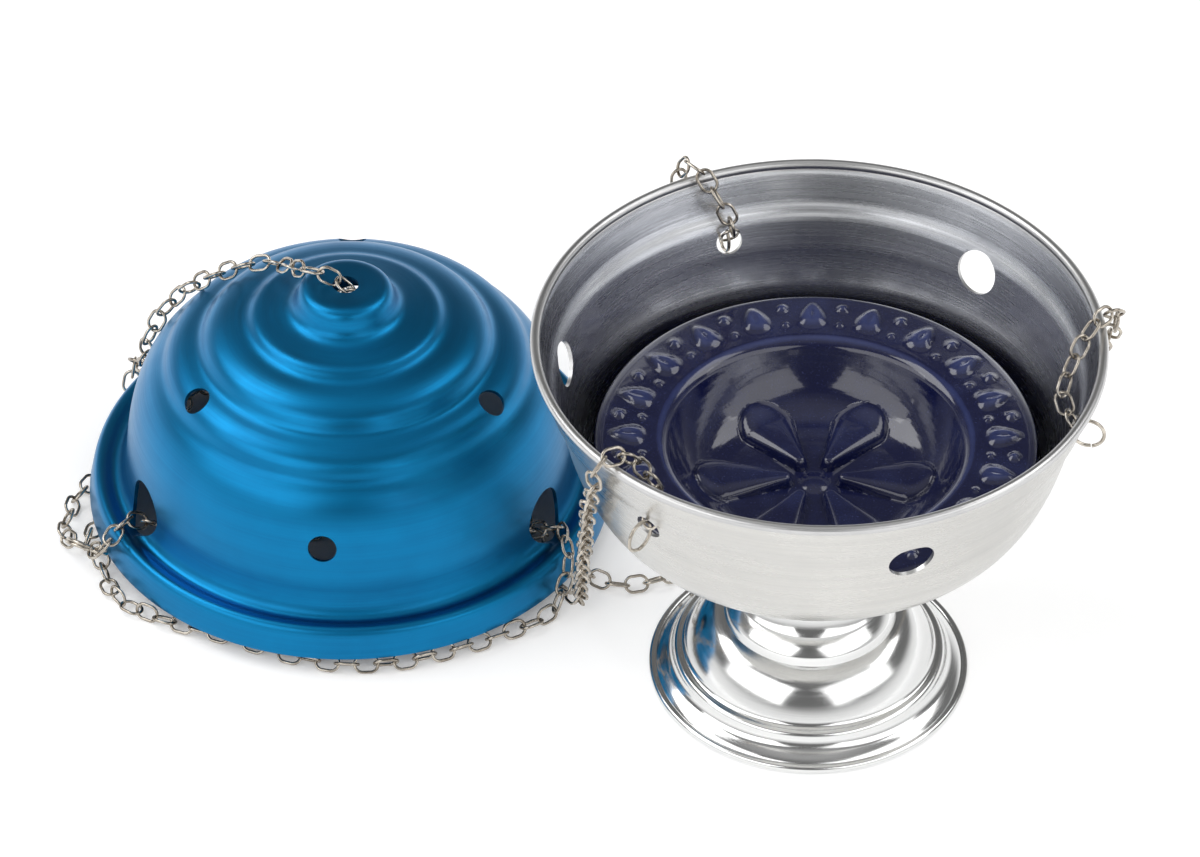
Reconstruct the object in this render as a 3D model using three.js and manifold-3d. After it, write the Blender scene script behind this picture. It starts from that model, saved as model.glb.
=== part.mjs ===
// A hanging incense burner of spun aluminium: a footed bowl with a ceramic dish for the coals,
// a stepped blue lid taken off and set down beside it on its own chains, and four cable chains.
// Millimetres, +Z up. The bowl's axis is the working axis; the whole group is centred at the end.

import * as THREE from "three";
import { mergeVertices } from "three/addons/utils/BufferGeometryUtils.js";
import Module from "manifold-3d";

const wasm = await Module();
wasm.setup();

// Running clearance between neighbouring pieces, and the steps of the round shapes
const CLEARANCE = 0.3;
const SHELL_SEGMENTS = 32;
const FOOT_SEGMENTS = 24;
const DISH_SEGMENTS = 32;
const HOLE_SEGMENTS = 14;
const WIRE_SEGMENTS = 12;
const WIRE_SIDES = 6;
const CURVE_STEPS = 2;
const BOWL_CURVE_STEPS = 3;

// Foot: a hollow bell on a rolled lip
const FOOT_WALL = 1.2;
const FOOT_LIP_RADIUS = 47.6;
const FOOT_LIP_WIRE = 1.4;
const FOOT_STEP_RADIUS = 41.5;
const FOOT_STEP_HEIGHT = 9.6;
const FOOT_STEP_FLARE = 1.8;
const FOOT_STEP_RISER = 4.6;
const FOOT_STEP_ROUND = 2;
const FOOT_BELL_SETBACK = 4;
const FOOT_BELL_LIFT = 1.8;
const FOOT_BELL_SWELL = 4.5;
const FOOT_BELL_CROWN = 2.4;
const FOOT_COLLAR_RADIUS = 25.6;
const FOOT_COLLAR_HEIGHT = 24;
const FOOT_COLLAR_ROUND = 0.6;
const FOOT_COLLAR_EDGE = 2;
const FOOT_COLLAR_INSET = 3.4;
const FOOT_COLLAR_RISE = 6.5;
const FOOT_NECK_RADIUS = 18.6;
const FOOT_NECK_LOW = 12;
const FOOT_NECK_HEIGHT = 43;
const FOOT_SEAT_RADIUS = 24;
const FOOT_SEAT_FLARE = 3.6;
const FOOT_SEAT_EDGE = 1.6;
const FOOT_HEIGHT = 56.7;

// Rivet and washer that hold the foot to the bowl
const RIVET_RADIUS = 2.3;
const RIVET_HEAD_RADIUS = 4.4;
const RIVET_HEAD_HEIGHT = 1.8;
const WASHER_RADIUS = 8;
const WASHER_THICKNESS = 1;

// Bowl: heights are rises above its flat bottom
const BOWL_WALL = 1.2;
const PUNCH_REACH = 8;
const BOWL_FLAT_RADIUS = 24;
const BOWL_TURN_RADIUS = 50.2;
const BOWL_TURN_RISE = 6.4;
const BOWL_BELLY_RADIUS = 63.7;
const BOWL_BELLY_RISE = 19.2;
const BOWL_FLANK_RADIUS = 71.5;
const BOWL_FLANK_RISE = 26.6;
const BOWL_WAIST_RADIUS = 76;
const BOWL_WAIST_RISE = 47;
const BOWL_LEDGE_RADIUS = 78.6;
const BOWL_LEDGE_RISE = 56.4;
const BOWL_LEDGE_STEP = 1.8;
const BOWL_LEDGE_STEP_RISE = 3.2;
const RIM_RADIUS = 83.5;
const RIM_RISE = 72.2;
const RIM_BEAD_WIRE = 1.5;
const BOWL_HOLE_RISE = 51;
const CHAIN_HOLE_RADIUS = 4.1;
const VENT_RADIUS = 6.9;
const CHAIN_HOLE_TURN = -40.5;
const VENT_TURN = 19.5;

// Ceramic dish
const DISH_GAP = 4.5;
const DISH_HEIGHT = 31.5;
const DISH_RIM_WIDTH = 20.5;
const DISH_RIM_FALL = 0.8;
const DISH_WELL_DEPTH = 19;
const DISH_WELL_LIP = 3;
const DISH_WELL_LIP_INSET = 1.6;
const DISH_WELL_FLOOR_RADIUS = 27;
const DISH_WELL_SWEEP = 10;
const DISH_WELL_SWEEP_RISE = 1;
const DISH_FOOT_RADIUS = 34;
const DISH_FOOT_WIDTH = 6;
const DISH_FOOT_RECESS = 5;
const DISH_FOOT_TAPER = 2;
const DISH_FOOT_HEIGHT = 4;
const DISH_BELLY_INSET = 12;
const DISH_BELLY_RISE = 8;
const DISH_EDGE_ROUND = 3.2;
const DISH_EDGE_TAPER = 2.5;
const DISH_EDGE_DEPTH = 9;
const DISH_RIB_COUNT = 6;
const DISH_RIB_RADIUS = 3.2;
const DISH_RIB_START = 9;
const DISH_RIB_ROUND_STEPS = 3;

// Lid: heights are rises above the edge of its skirt
const LID_WALL = 1.2;
const LID_FIT = 0.4;
const LID_SKIRT_EDGE = 1.2;
const LID_SKIRT_TAPER = 1.3;
const LID_RIDGE_INSET = 3.8;
const LID_RIDGE_RISE = 10.1;
const LID_RIDGE_ROUND = 2.5;
const LID_RIDGE_OUTER = 2.1;
const LID_RIDGE_INNER = 2;
const LID_GROOVE_RADIUS = 73.3;
const LID_GROOVE_RISE = 7.3;
const LID_GROOVE_OUTER = 1.3;
const LID_GROOVE_INNER = 1.5;
const LID_GROOVE_EDGE = 1;
const LID_GROOVE_DEPTH = 0.6;
const LID_WALL_RADIUS = 69.4;
const LID_WALL_RISE = 16;
const LID_WALL_FLARE = 0.7;
const LID_WALL_FOOT = 3;
const LID_WALL_LEAN = 0.6;
const LID_WALL_SWELL = 14;
const LID_SHOULDER_SWELL = 7;
const LID_SHOULDER_DROP = 6;
const LID_SHOULDER_RADIUS = 58.6;
const LID_SHOULDER_RISE = 48.6;
const LID_SECOND_RADIUS = 46.5;
const LID_SECOND_RISE = 58.3;
const LID_THIRD_RADIUS = 31;
const LID_THIRD_RISE = 67.6;
const LID_FOURTH_RADIUS = 19.5;
const LID_FOURTH_RISE = 71.9;
const LID_STEP_INSET = 2.2;
const LID_STEP_RISE = 2.6;
const LID_STEP_SWEEP = 1.6;
const LID_STEP_LIFT = 0.7;
const LID_CROWN_SHARE = 0.14;
const LID_CROWN_DROP = 1.6;
const KNOB_RADIUS = 15.2;
const KNOB_FLARE = 1.2;
const KNOB_FOOT = 0.3;
const KNOB_FOOT_RISE = 3.4;
const KNOB_TAPER = 0.6;
const KNOB_EDGE = 1.2;
const KNOB_EDGE_DROP = 2.6;
const KNOB_EDGE_ROUND = 4.5;
const KNOB_RISE = 80.8;
const KNOB_HOLE_RADIUS = 4;
const LID_CHAIN_HOLE_RADIUS = 8.7;
const LID_CHAIN_HOLE_RISE = 16;
const LID_CHAIN_HOLE_TURNS = [-64, 62, 180];
const LID_VENT_RADIUS = 4.4;
const LID_LOW_VENT_RISE = 32;
const LID_LOW_VENT_TURN = -5;
const LID_HIGH_VENT_SETBACK = 5.8;
const LID_HIGH_VENT_TURN = 60;
const LID_X = -142.4;
const LID_Y = 76.5;

// Chain: cable links, and the rings at its ends
const CHAIN_RADIUS = 2.5;
const CHAIN_SIDES = 8;
const CHAIN_STEP = 7.5;
const LINK_LENGTH = 8.2;
const LINK_WIDTH = 6;
const LINK_WIRE = 0.45;
const JUMP_RING_RADIUS = 4.75;
const JUMP_RING_WIRE = 0.55;
const JUMP_RING_PLAY = 0.1;
const BOWL_LINK_TILT = 45;
const LID_LINK_TILT = 40;
const LID_LINK_HEADING = -99;
const GATHER_RING_RADIUS = 5.4;
const GATHER_RING_WIRE = 1.1;
const GATHER_RING_AXIS = [-0.361, -0.629, -0.688];
const GATHER_RING_X = -224.3;
const GATHER_RING_Y = 46.2;

// Sizes that follow from the ones above
// The lip is six-sided and stands on one of its flats
const FOOT_LIP_REST = FOOT_LIP_WIRE * Math.cos(Math.PI / WIRE_SIDES);
const RIVET_HOLE_RADIUS = RIVET_RADIUS + CLEARANCE;
const BOWL_BASE = FOOT_HEIGHT + CLEARANCE;
const HOLE_HEIGHT = BOWL_BASE + BOWL_HOLE_RISE;
const RIM_HEIGHT = BOWL_BASE + RIM_RISE;
const SKIRT_RADIUS = RIM_RADIUS - RIM_BEAD_WIRE - LID_FIT;
const LID_BASE = 2 * CHAIN_RADIUS + 2 * CLEARANCE;
const RIDGE_HEIGHT = LID_BASE + LID_RIDGE_RISE;
const REST_HEIGHT = CHAIN_RADIUS + CLEARANCE;
// Distance between the centres of two wires that hook each other
const HOOK = JUMP_RING_WIRE + LINK_WIRE + CLEARANCE;
const THIRDS = [0, 120, 240];
const ORIGIN = new THREE.Vector2(0, 0);

const radians = THREE.MathUtils.degToRad;

const lidBlue = new THREE.MeshStandardMaterial({ color: 0x0a6fa8, roughness: 0.32, metalness: 0.9 });
const aluminium = new THREE.MeshStandardMaterial({ color: 0xd2d3d2, roughness: 0.25, metalness: 1 });
const glaze = new THREE.MeshStandardMaterial({ color: 0x14173f, roughness: 0.12, metalness: 0 });
const nickel = new THREE.MeshStandardMaterial({ color: 0xc9c2b6, roughness: 0.22, metalness: 1 });

const burner = new THREE.Group();
const lidGroup = new THREE.Group();
lidGroup.position.set(LID_X, LID_Y, LID_BASE);

// A closed geometry as a solid that can be joined and cut.
function solidOf(geometry) {
  const bare = geometry.clone();
  bare.deleteAttribute("normal");
  bare.deleteAttribute("uv");
  const merged = mergeVertices(bare, 1e-4);
  const index = merged.index.array;
  const kept = [];
  for (let i = 0; i < index.length; i += 3) {
    const [a, b, c] = [index[i], index[i + 1], index[i + 2]];
    if (a !== b && b !== c && c !== a) kept.push(a, b, c);
  }
  return new wasm.Manifold(
    new wasm.Mesh({
      numProp: 3,
      vertProperties: new Float32Array(merged.attributes.position.array),
      triVerts: new Uint32Array(kept),
    }),
  );
}

function geometryOf(solid) {
  const mesh = solid.getMesh();
  const geometry = new THREE.BufferGeometry();
  geometry.setAttribute("position", new THREE.BufferAttribute(mesh.vertProperties, 3));
  geometry.setIndex(new THREE.BufferAttribute(mesh.triVerts, 1));
  geometry.computeVertexNormals();
  return geometry;
}

function addPiece(group, name, shape, material) {
  const geometry = shape.isBufferGeometry ? shape : geometryOf(shape);
  const mesh = new THREE.Mesh(geometry, material);
  mesh.name = name;
  group.add(mesh);
  return mesh;
}

// Signed area of a closed outline, positive when it runs anticlockwise.
function areaOf(points) {
  return points.reduce((sum, p, i) => {
    const q = points[(i + 1) % points.length];
    return sum + (p.x * q.y - q.x * p.y) / 2;
  }, 0);
}

// Turns a closed outline of radius and height about +Z.
function turned(points, segments) {
  const loop = areaOf(points) > 0 ? points : [...points].reverse();
  const closed = [...loop, loop[0].clone()];
  return new THREE.LatheGeometry(closed, segments).rotateX(Math.PI / 2);
}

// The sheet's other face: each point of the outline moved a wall's thickness to its left.
function insideOf(points, wall) {
  return points.map((p, i) => {
    const before = points[Math.max(i - 1, 0)];
    const after = points[Math.min(i + 1, points.length - 1)];
    const along = after.clone().sub(before).normalize();
    return new THREE.Vector2(p.x - wall * along.y, p.y + wall * along.x);
  });
}

function spunShell(points, wall, segments) {
  return solidOf(turned([...points, ...insideOf(points, wall).reverse()], segments));
}

// A round wire bent into a ring about +Z, at a height.
function wireRing(radius, wire, height, segments, sides) {
  return solidOf(new THREE.TorusGeometry(radius, wire, sides, segments).translate(0, 0, height));
}

// Direction on the table plan of a turn in degrees from the front, positive to the right.
function heading(turn) {
  return new THREE.Vector3(Math.sin(radians(turn)), -Math.cos(radians(turn)), 0);
}

// Where an outline has a height: its radius there and the outward normal of the sheet.
function wallAt(points, height) {
  const i = points.findIndex((p, k) => {
    const q = points[k + 1];
    return q && Math.min(p.y, q.y) <= height && Math.max(p.y, q.y) >= height && q.y !== p.y;
  });
  const [p, q] = [points[i], points[i + 1]];
  const share = (height - p.y) / (q.y - p.y);
  const along = q.clone().sub(p).normalize();
  return { radius: p.x + share * (q.x - p.x), out: along.y, up: -along.x };
}

// A frame on the wall: x out of the sheet, y along it to the side, z up the sheet.
function wallFrame(points, height, turn) {
  const wall = wallAt(points, height);
  const side = heading(turn);
  const out = side.clone().multiplyScalar(wall.out);
  out.z = wall.up;
  const across = new THREE.Vector3(0, 0, 1).cross(side).normalize();
  const upSheet = out.clone().cross(across).normalize();
  const frame = new THREE.Matrix4().makeBasis(out, across, upSheet);
  frame.setPosition(side.x * wall.radius, side.y * wall.radius, height);
  return frame;
}

// A punch for a round hole along the wall's normal.
function punch(points, height, turn, radius, reach) {
  const tool = new THREE.CylinderGeometry(radius, radius, reach, HOLE_SEGMENTS);
  tool.rotateZ(Math.PI / 2);
  return solidOf(tool.applyMatrix4(wallFrame(points, height, turn)));
}

// One chain link lying along x with its wide side along y: a ring pulled apart.
function linkGeometry() {
  const bend = LINK_WIDTH / 2 - LINK_WIRE;
  const pull = LINK_LENGTH / 2 - LINK_WIDTH / 2;
  const link = new THREE.TorusGeometry(bend, LINK_WIRE, WIRE_SIDES, WIRE_SEGMENTS);
  const place = link.attributes.position;
  for (let i = 0; i < place.count; i += 1) {
    place.setX(i, place.getX(i) + Math.sign(place.getX(i)) * pull);
  }
  return link;
}

// Foot

// The rolled lip's corners, from its upper outer one down and round to its inner side.
function footLip() {
  return [60, 0, -60, -120, -180].map((turn) => {
    const corner = new THREE.Vector2(FOOT_LIP_WIRE, 0).rotateAround(ORIGIN, radians(turn));
    return corner.add(new THREE.Vector2(FOOT_LIP_RADIUS, FOOT_LIP_REST));
  });
}

function footOutline() {
  const lip = footLip();
  const bellFoot = FOOT_STEP_RADIUS - FOOT_BELL_SETBACK;
  const collarTop = FOOT_COLLAR_HEIGHT + FOOT_COLLAR_RISE;
  const path = new THREE.Path();
  path.moveTo(lip[0].x, lip[0].y);
  path.lineTo(FOOT_STEP_RADIUS + FOOT_STEP_FLARE, FOOT_STEP_HEIGHT - FOOT_STEP_RISER);
  path.lineTo(FOOT_STEP_RADIUS, FOOT_STEP_HEIGHT - FOOT_STEP_ROUND);
  path.lineTo(FOOT_STEP_RADIUS - FOOT_STEP_ROUND, FOOT_STEP_HEIGHT);
  path.lineTo(bellFoot, FOOT_STEP_HEIGHT + FOOT_BELL_LIFT);
  path.quadraticCurveTo(
    bellFoot - FOOT_BELL_SWELL,
    FOOT_COLLAR_HEIGHT - FOOT_BELL_CROWN,
    FOOT_COLLAR_RADIUS + FOOT_COLLAR_ROUND,
    FOOT_COLLAR_HEIGHT - FOOT_COLLAR_ROUND,
  );
  path.lineTo(FOOT_COLLAR_RADIUS, FOOT_COLLAR_HEIGHT + FOOT_COLLAR_EDGE);
  path.lineTo(FOOT_COLLAR_RADIUS - FOOT_COLLAR_INSET, collarTop);
  path.quadraticCurveTo(
    FOOT_NECK_RADIUS,
    FOOT_COLLAR_HEIGHT + FOOT_NECK_LOW,
    FOOT_NECK_RADIUS,
    FOOT_NECK_HEIGHT,
  );
  path.quadraticCurveTo(
    FOOT_NECK_RADIUS,
    FOOT_HEIGHT - FOOT_SEAT_FLARE,
    FOOT_SEAT_RADIUS,
    FOOT_HEIGHT - FOOT_SEAT_EDGE,
  );
  path.lineTo(FOOT_SEAT_RADIUS, FOOT_HEIGHT);
  path.lineTo(RIVET_HOLE_RADIUS, FOOT_HEIGHT);
  return path.getPoints(CURVE_STEPS);
}

function makeFoot() {
  const outer = footOutline();
  const inner = insideOf(outer, FOOT_WALL).slice(1);
  const lip = footLip().slice(1);
  return solidOf(turned([...outer, ...inner.reverse(), ...lip.reverse()], FOOT_SEGMENTS));
}

// Bowl

function bowlOutline() {
  const path = new THREE.Path();
  path.moveTo(RIVET_HOLE_RADIUS, BOWL_BASE);
  path.lineTo(BOWL_FLAT_RADIUS, BOWL_BASE);
  path.quadraticCurveTo(
    BOWL_TURN_RADIUS,
    BOWL_BASE + BOWL_TURN_RISE,
    BOWL_BELLY_RADIUS,
    BOWL_BASE + BOWL_BELLY_RISE,
  );
  path.quadraticCurveTo(
    BOWL_FLANK_RADIUS,
    BOWL_BASE + BOWL_FLANK_RISE,
    BOWL_WAIST_RADIUS,
    BOWL_BASE + BOWL_WAIST_RISE,
  );
  path.lineTo(BOWL_LEDGE_RADIUS, BOWL_BASE + BOWL_LEDGE_RISE);
  path.lineTo(BOWL_LEDGE_RADIUS + BOWL_LEDGE_STEP, BOWL_BASE + BOWL_LEDGE_RISE + BOWL_LEDGE_STEP_RISE);
  path.lineTo(RIM_RADIUS + BOWL_WALL / 2, RIM_HEIGHT);
  return path.getPoints(BOWL_CURVE_STEPS);
}

// Height of the bowl's inner face at a radius, for what stands in it.
function bowlFloorAt(radius) {
  const inner = insideOf(bowlOutline(), BOWL_WALL);
  const i = inner.findIndex((p, k) => inner[k + 1] && p.x <= radius && inner[k + 1].x >= radius);
  const share = (radius - inner[i].x) / (inner[i + 1].x - inner[i].x);
  return inner[i].y + share * (inner[i + 1].y - inner[i].y);
}

function makeBowl() {
  const outline = bowlOutline();
  const reach = PUNCH_REACH * BOWL_WALL;
  let bowl = spunShell(outline, BOWL_WALL, SHELL_SEGMENTS);
  bowl = bowl.add(wireRing(RIM_RADIUS, RIM_BEAD_WIRE, RIM_HEIGHT, SHELL_SEGMENTS, WIRE_SIDES));
  for (const spread of THIRDS) {
    bowl = bowl.subtract(punch(outline, HOLE_HEIGHT, CHAIN_HOLE_TURN + spread, CHAIN_HOLE_RADIUS, reach));
    bowl = bowl.subtract(punch(outline, HOLE_HEIGHT, VENT_TURN + spread, VENT_RADIUS, reach));
  }
  return bowl;
}

// Rivet and washer

function makeRivet() {
  const top = BOWL_BASE + BOWL_WALL + CLEARANCE + WASHER_THICKNESS + CLEARANCE;
  const bottom = FOOT_HEIGHT - FOOT_WALL - CLEARANCE;
  const path = new THREE.Path();
  path.moveTo(0, bottom - RIVET_HEAD_HEIGHT);
  path.quadraticCurveTo(RIVET_HEAD_RADIUS, bottom - RIVET_HEAD_HEIGHT, RIVET_HEAD_RADIUS, bottom);
  path.lineTo(RIVET_RADIUS, bottom);
  path.lineTo(RIVET_RADIUS, top);
  path.lineTo(RIVET_HEAD_RADIUS, top);
  path.quadraticCurveTo(RIVET_HEAD_RADIUS, top + RIVET_HEAD_HEIGHT, 0, top + RIVET_HEAD_HEIGHT);
  return solidOf(turned(path.getPoints(CURVE_STEPS), WIRE_SEGMENTS));
}

function makeWasher() {
  const low = BOWL_BASE + BOWL_WALL + CLEARANCE;
  const corners = [
    new THREE.Vector2(RIVET_HOLE_RADIUS, low),
    new THREE.Vector2(WASHER_RADIUS, low),
    new THREE.Vector2(WASHER_RADIUS, low + WASHER_THICKNESS),
    new THREE.Vector2(RIVET_HOLE_RADIUS, low + WASHER_THICKNESS),
  ];
  return solidOf(turned(corners, WIRE_SEGMENTS));
}

// Ceramic dish

const DISH_BASE = bowlFloorAt(DISH_FOOT_RADIUS) + CLEARANCE;
const DISH_TOP = DISH_BASE + DISH_HEIGHT;
const DISH_FLOOR = DISH_TOP - DISH_WELL_DEPTH;
const DISH_EDGE = wallAt(insideOf(bowlOutline(), BOWL_WALL), DISH_TOP - DISH_EDGE_ROUND);
const DISH_RADIUS = DISH_EDGE.radius - DISH_GAP;
const DISH_WELL_RADIUS = DISH_RADIUS - DISH_RIM_WIDTH;

function dishOutline() {
  const rimTop = DISH_TOP - DISH_RIM_FALL;
  const path = new THREE.Path();
  path.moveTo(0, DISH_BASE + DISH_FOOT_RECESS);
  path.lineTo(DISH_FOOT_RADIUS - DISH_FOOT_WIDTH - DISH_FOOT_TAPER, DISH_BASE + DISH_FOOT_RECESS);
  path.lineTo(DISH_FOOT_RADIUS - DISH_FOOT_WIDTH, DISH_BASE);
  path.lineTo(DISH_FOOT_RADIUS, DISH_BASE);
  path.lineTo(DISH_FOOT_RADIUS + DISH_FOOT_TAPER, DISH_BASE + DISH_FOOT_HEIGHT);
  path.quadraticCurveTo(
    DISH_RADIUS - DISH_BELLY_INSET,
    DISH_BASE + DISH_BELLY_RISE,
    DISH_RADIUS - DISH_EDGE_TAPER,
    DISH_TOP - DISH_EDGE_DEPTH,
  );
  path.lineTo(DISH_RADIUS, DISH_TOP - DISH_EDGE_ROUND);
  path.quadraticCurveTo(DISH_RADIUS, DISH_TOP, DISH_RADIUS - DISH_EDGE_ROUND, DISH_TOP);
  path.lineTo(DISH_WELL_RADIUS + DISH_WELL_LIP, rimTop);
  path.quadraticCurveTo(
    DISH_WELL_RADIUS,
    rimTop,
    DISH_WELL_RADIUS - DISH_WELL_LIP_INSET,
    DISH_TOP - DISH_WELL_LIP,
  );
  path.quadraticCurveTo(
    DISH_WELL_FLOOR_RADIUS + DISH_WELL_SWEEP,
    DISH_FLOOR + DISH_WELL_SWEEP_RISE,
    DISH_WELL_FLOOR_RADIUS,
    DISH_FLOOR,
  );
  path.lineTo(0, DISH_FLOOR);
  return path.getPoints(CURVE_STEPS);
}

// Low ribs in the well, which hold a coal off the floor.
function dishRib(turn) {
  const length = DISH_WELL_FLOOR_RADIUS - DISH_RIB_START;
  const rib = new THREE.CapsuleGeometry(DISH_RIB_RADIUS, length, DISH_RIB_ROUND_STEPS, CHAIN_SIDES);
  rib.translate(0, -(DISH_WELL_FLOOR_RADIUS + DISH_RIB_START) / 2, 0);
  rib.rotateZ(radians(turn));
  rib.translate(0, 0, DISH_FLOOR);
  return solidOf(rib);
}

function makeDish() {
  let dish = solidOf(turned(dishOutline(), DISH_SEGMENTS));
  for (let i = 0; i < DISH_RIB_COUNT; i += 1) {
    dish = dish.add(dishRib((360 * i) / DISH_RIB_COUNT));
  }
  return dish;
}

// Lid, drawn about its own axis from the edge of its skirt

// The riser and rounded shoulder of one step, drawn upwards.
function addStep(path, footRadius, footRise, nextRadius, nextRise) {
  const riserRadius = footRadius - LID_STEP_INSET;
  const riserRise = footRise + LID_STEP_RISE;
  const crownRadius = riserRadius - LID_CROWN_SHARE * (riserRadius - nextRadius);
  path.quadraticCurveTo(footRadius - LID_STEP_SWEEP, footRise + LID_STEP_LIFT, riserRadius, riserRise);
  path.quadraticCurveTo(crownRadius, nextRise - LID_CROWN_DROP, nextRadius, nextRise);
}

function addSkirt(path) {
  const ridge = SKIRT_RADIUS - LID_RIDGE_INSET;
  path.moveTo(SKIRT_RADIUS, 0);
  path.lineTo(SKIRT_RADIUS, LID_SKIRT_EDGE);
  path.lineTo(SKIRT_RADIUS - LID_SKIRT_TAPER, LID_RIDGE_RISE - LID_RIDGE_ROUND);
  path.quadraticCurveTo(ridge + LID_RIDGE_OUTER, LID_RIDGE_RISE, ridge, LID_RIDGE_RISE);
  path.quadraticCurveTo(
    ridge - LID_RIDGE_INNER,
    LID_RIDGE_RISE,
    LID_GROOVE_RADIUS + LID_GROOVE_OUTER,
    LID_GROOVE_RISE + LID_GROOVE_EDGE,
  );
  path.quadraticCurveTo(
    LID_GROOVE_RADIUS,
    LID_GROOVE_RISE - LID_GROOVE_DEPTH,
    LID_GROOVE_RADIUS - LID_GROOVE_INNER,
    LID_GROOVE_RISE + LID_GROOVE_EDGE,
  );
}

function addKnob(path) {
  path.quadraticCurveTo(
    KNOB_RADIUS + KNOB_FLARE,
    LID_FOURTH_RISE + KNOB_FOOT,
    KNOB_RADIUS + KNOB_FOOT,
    LID_FOURTH_RISE + KNOB_FOOT_RISE,
  );
  path.lineTo(KNOB_RADIUS - KNOB_TAPER, KNOB_RISE - KNOB_EDGE_DROP);
  path.quadraticCurveTo(KNOB_RADIUS - KNOB_EDGE, KNOB_RISE, KNOB_RADIUS - KNOB_EDGE_ROUND, KNOB_RISE);
  path.lineTo(KNOB_HOLE_RADIUS, KNOB_RISE);
}

function lidOutline() {
  const path = new THREE.Path();
  addSkirt(path);
  path.quadraticCurveTo(
    LID_WALL_RADIUS + LID_WALL_FLARE,
    LID_GROOVE_RISE + LID_WALL_FOOT,
    LID_WALL_RADIUS,
    LID_WALL_RISE,
  );
  path.bezierCurveTo(
    LID_WALL_RADIUS - LID_WALL_LEAN,
    LID_WALL_RISE + LID_WALL_SWELL,
    LID_SHOULDER_RADIUS + LID_SHOULDER_SWELL,
    LID_SHOULDER_RISE - LID_SHOULDER_DROP,
    LID_SHOULDER_RADIUS,
    LID_SHOULDER_RISE,
  );
  addStep(path, LID_SHOULDER_RADIUS, LID_SHOULDER_RISE, LID_SECOND_RADIUS, LID_SECOND_RISE);
  addStep(path, LID_SECOND_RADIUS, LID_SECOND_RISE, LID_THIRD_RADIUS, LID_THIRD_RISE);
  addStep(path, LID_THIRD_RADIUS, LID_THIRD_RISE, LID_FOURTH_RADIUS, LID_FOURTH_RISE);
  addKnob(path);
  return path.getPoints(CURVE_STEPS);
}

// Rise of the lid's outer face at a radius.
function lidRiseAt(points, radius) {
  const i = points.findIndex((p, k) => points[k + 1] && p.x >= radius && points[k + 1].x < radius);
  const [p, q] = [points[i], points[i + 1]];
  const share = (p.x - radius) / (p.x - q.x);
  return p.y + share * (q.y - p.y);
}

function makeLid() {
  const outline = lidOutline();
  const reach = PUNCH_REACH * LID_WALL;
  const highRise = lidRiseAt(outline, LID_SECOND_RADIUS + LID_HIGH_VENT_SETBACK);
  let lid = spunShell(outline, LID_WALL, SHELL_SEGMENTS);
  for (const turn of LID_CHAIN_HOLE_TURNS) {
    lid = lid.subtract(punch(outline, LID_CHAIN_HOLE_RISE, turn, LID_CHAIN_HOLE_RADIUS, reach));
  }
  for (const spread of THIRDS) {
    lid = lid.subtract(punch(outline, LID_LOW_VENT_RISE, LID_LOW_VENT_TURN + spread, LID_VENT_RADIUS, reach));
    lid = lid.subtract(punch(outline, highRise, LID_HIGH_VENT_TURN + spread, LID_VENT_RADIUS, reach));
  }
  return lid;
}

// Rings and end links

// The jump ring stands in its hole, half outside, and the end link hooks it through the hole.
function jumpRingCentre() {
  const outer = JUMP_RING_RADIUS + JUMP_RING_WIRE;
  const chord = CHAIN_HOLE_RADIUS - CLEARANCE - JUMP_RING_PLAY;
  return Math.sqrt(outer * outer - chord * chord);
}

function makeJumpRing(frame) {
  const ring = new THREE.TorusGeometry(JUMP_RING_RADIUS, JUMP_RING_WIRE, WIRE_SIDES, WIRE_SEGMENTS);
  ring.rotateX(Math.PI / 2);
  ring.translate(jumpRingCentre(), 0, 0);
  return solidOf(ring.applyMatrix4(frame));
}

function makeBowlLink(frame) {
  const link = linkGeometry();
  link.translate(-(LINK_LENGTH / 2 - LINK_WIRE), 0, 0);
  link.rotateY(radians(BOWL_LINK_TILT));
  link.translate(jumpRingCentre() - JUMP_RING_RADIUS + HOOK, 0, 0);
  return solidOf(link.applyMatrix4(frame));
}

// The lid's own chain leaves through the knob; a ring under the hole holds it.
function lidLinkFrame() {
  const frame = new THREE.Matrix4().makeRotationZ(radians(LID_LINK_HEADING - 90));
  return frame.setPosition(0, 0, KNOB_RISE - LID_WALL / 2 - CLEARANCE / 2);
}

function makeLidLink() {
  const link = linkGeometry();
  link.rotateY(-radians(LID_LINK_TILT));
  return solidOf(link.applyMatrix4(lidLinkFrame()));
}

function makeLidRing() {
  const half = LINK_LENGTH / 2 - LINK_WIRE;
  const tilt = radians(LID_LINK_TILT);
  const ring = new THREE.TorusGeometry(JUMP_RING_RADIUS, JUMP_RING_WIRE, WIRE_SIDES, WIRE_SEGMENTS);
  ring.rotateX(Math.PI / 2);
  ring.translate(-half * Math.cos(tilt), 0, -half * Math.sin(tilt) - JUMP_RING_RADIUS + HOOK);
  return solidOf(ring.applyMatrix4(lidLinkFrame()));
}

function makeGatherRing() {
  const ring = new THREE.TorusGeometry(GATHER_RING_RADIUS, GATHER_RING_WIRE, CHAIN_SIDES, WIRE_SEGMENTS);
  const axis = new THREE.Vector3(...GATHER_RING_AXIS).normalize();
  const lean = Math.sqrt(1 - axis.z * axis.z);
  ring.applyQuaternion(new THREE.Quaternion().setFromUnitVectors(new THREE.Vector3(0, 0, 1), axis));
  const height = GATHER_RING_RADIUS * lean + GATHER_RING_WIRE + CLEARANCE;
  return solidOf(ring.translate(GATHER_RING_X, GATHER_RING_Y, height));
}

// Chains: each run is a round strand along points chosen by hand, in millimetres.
// Points are given about the bowl's or the lid's axis as radius, turn from the front and height,
// or as plain x, y and height from the bowl's axis.

function aboutBowl(radius, turn, height) {
  const side = heading(turn).multiplyScalar(radius);
  return [side.x, side.y, height];
}

function aboutLid(radius, turn, height) {
  const side = heading(turn).multiplyScalar(radius);
  return [LID_X + side.x, LID_Y + side.y, height];
}

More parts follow.
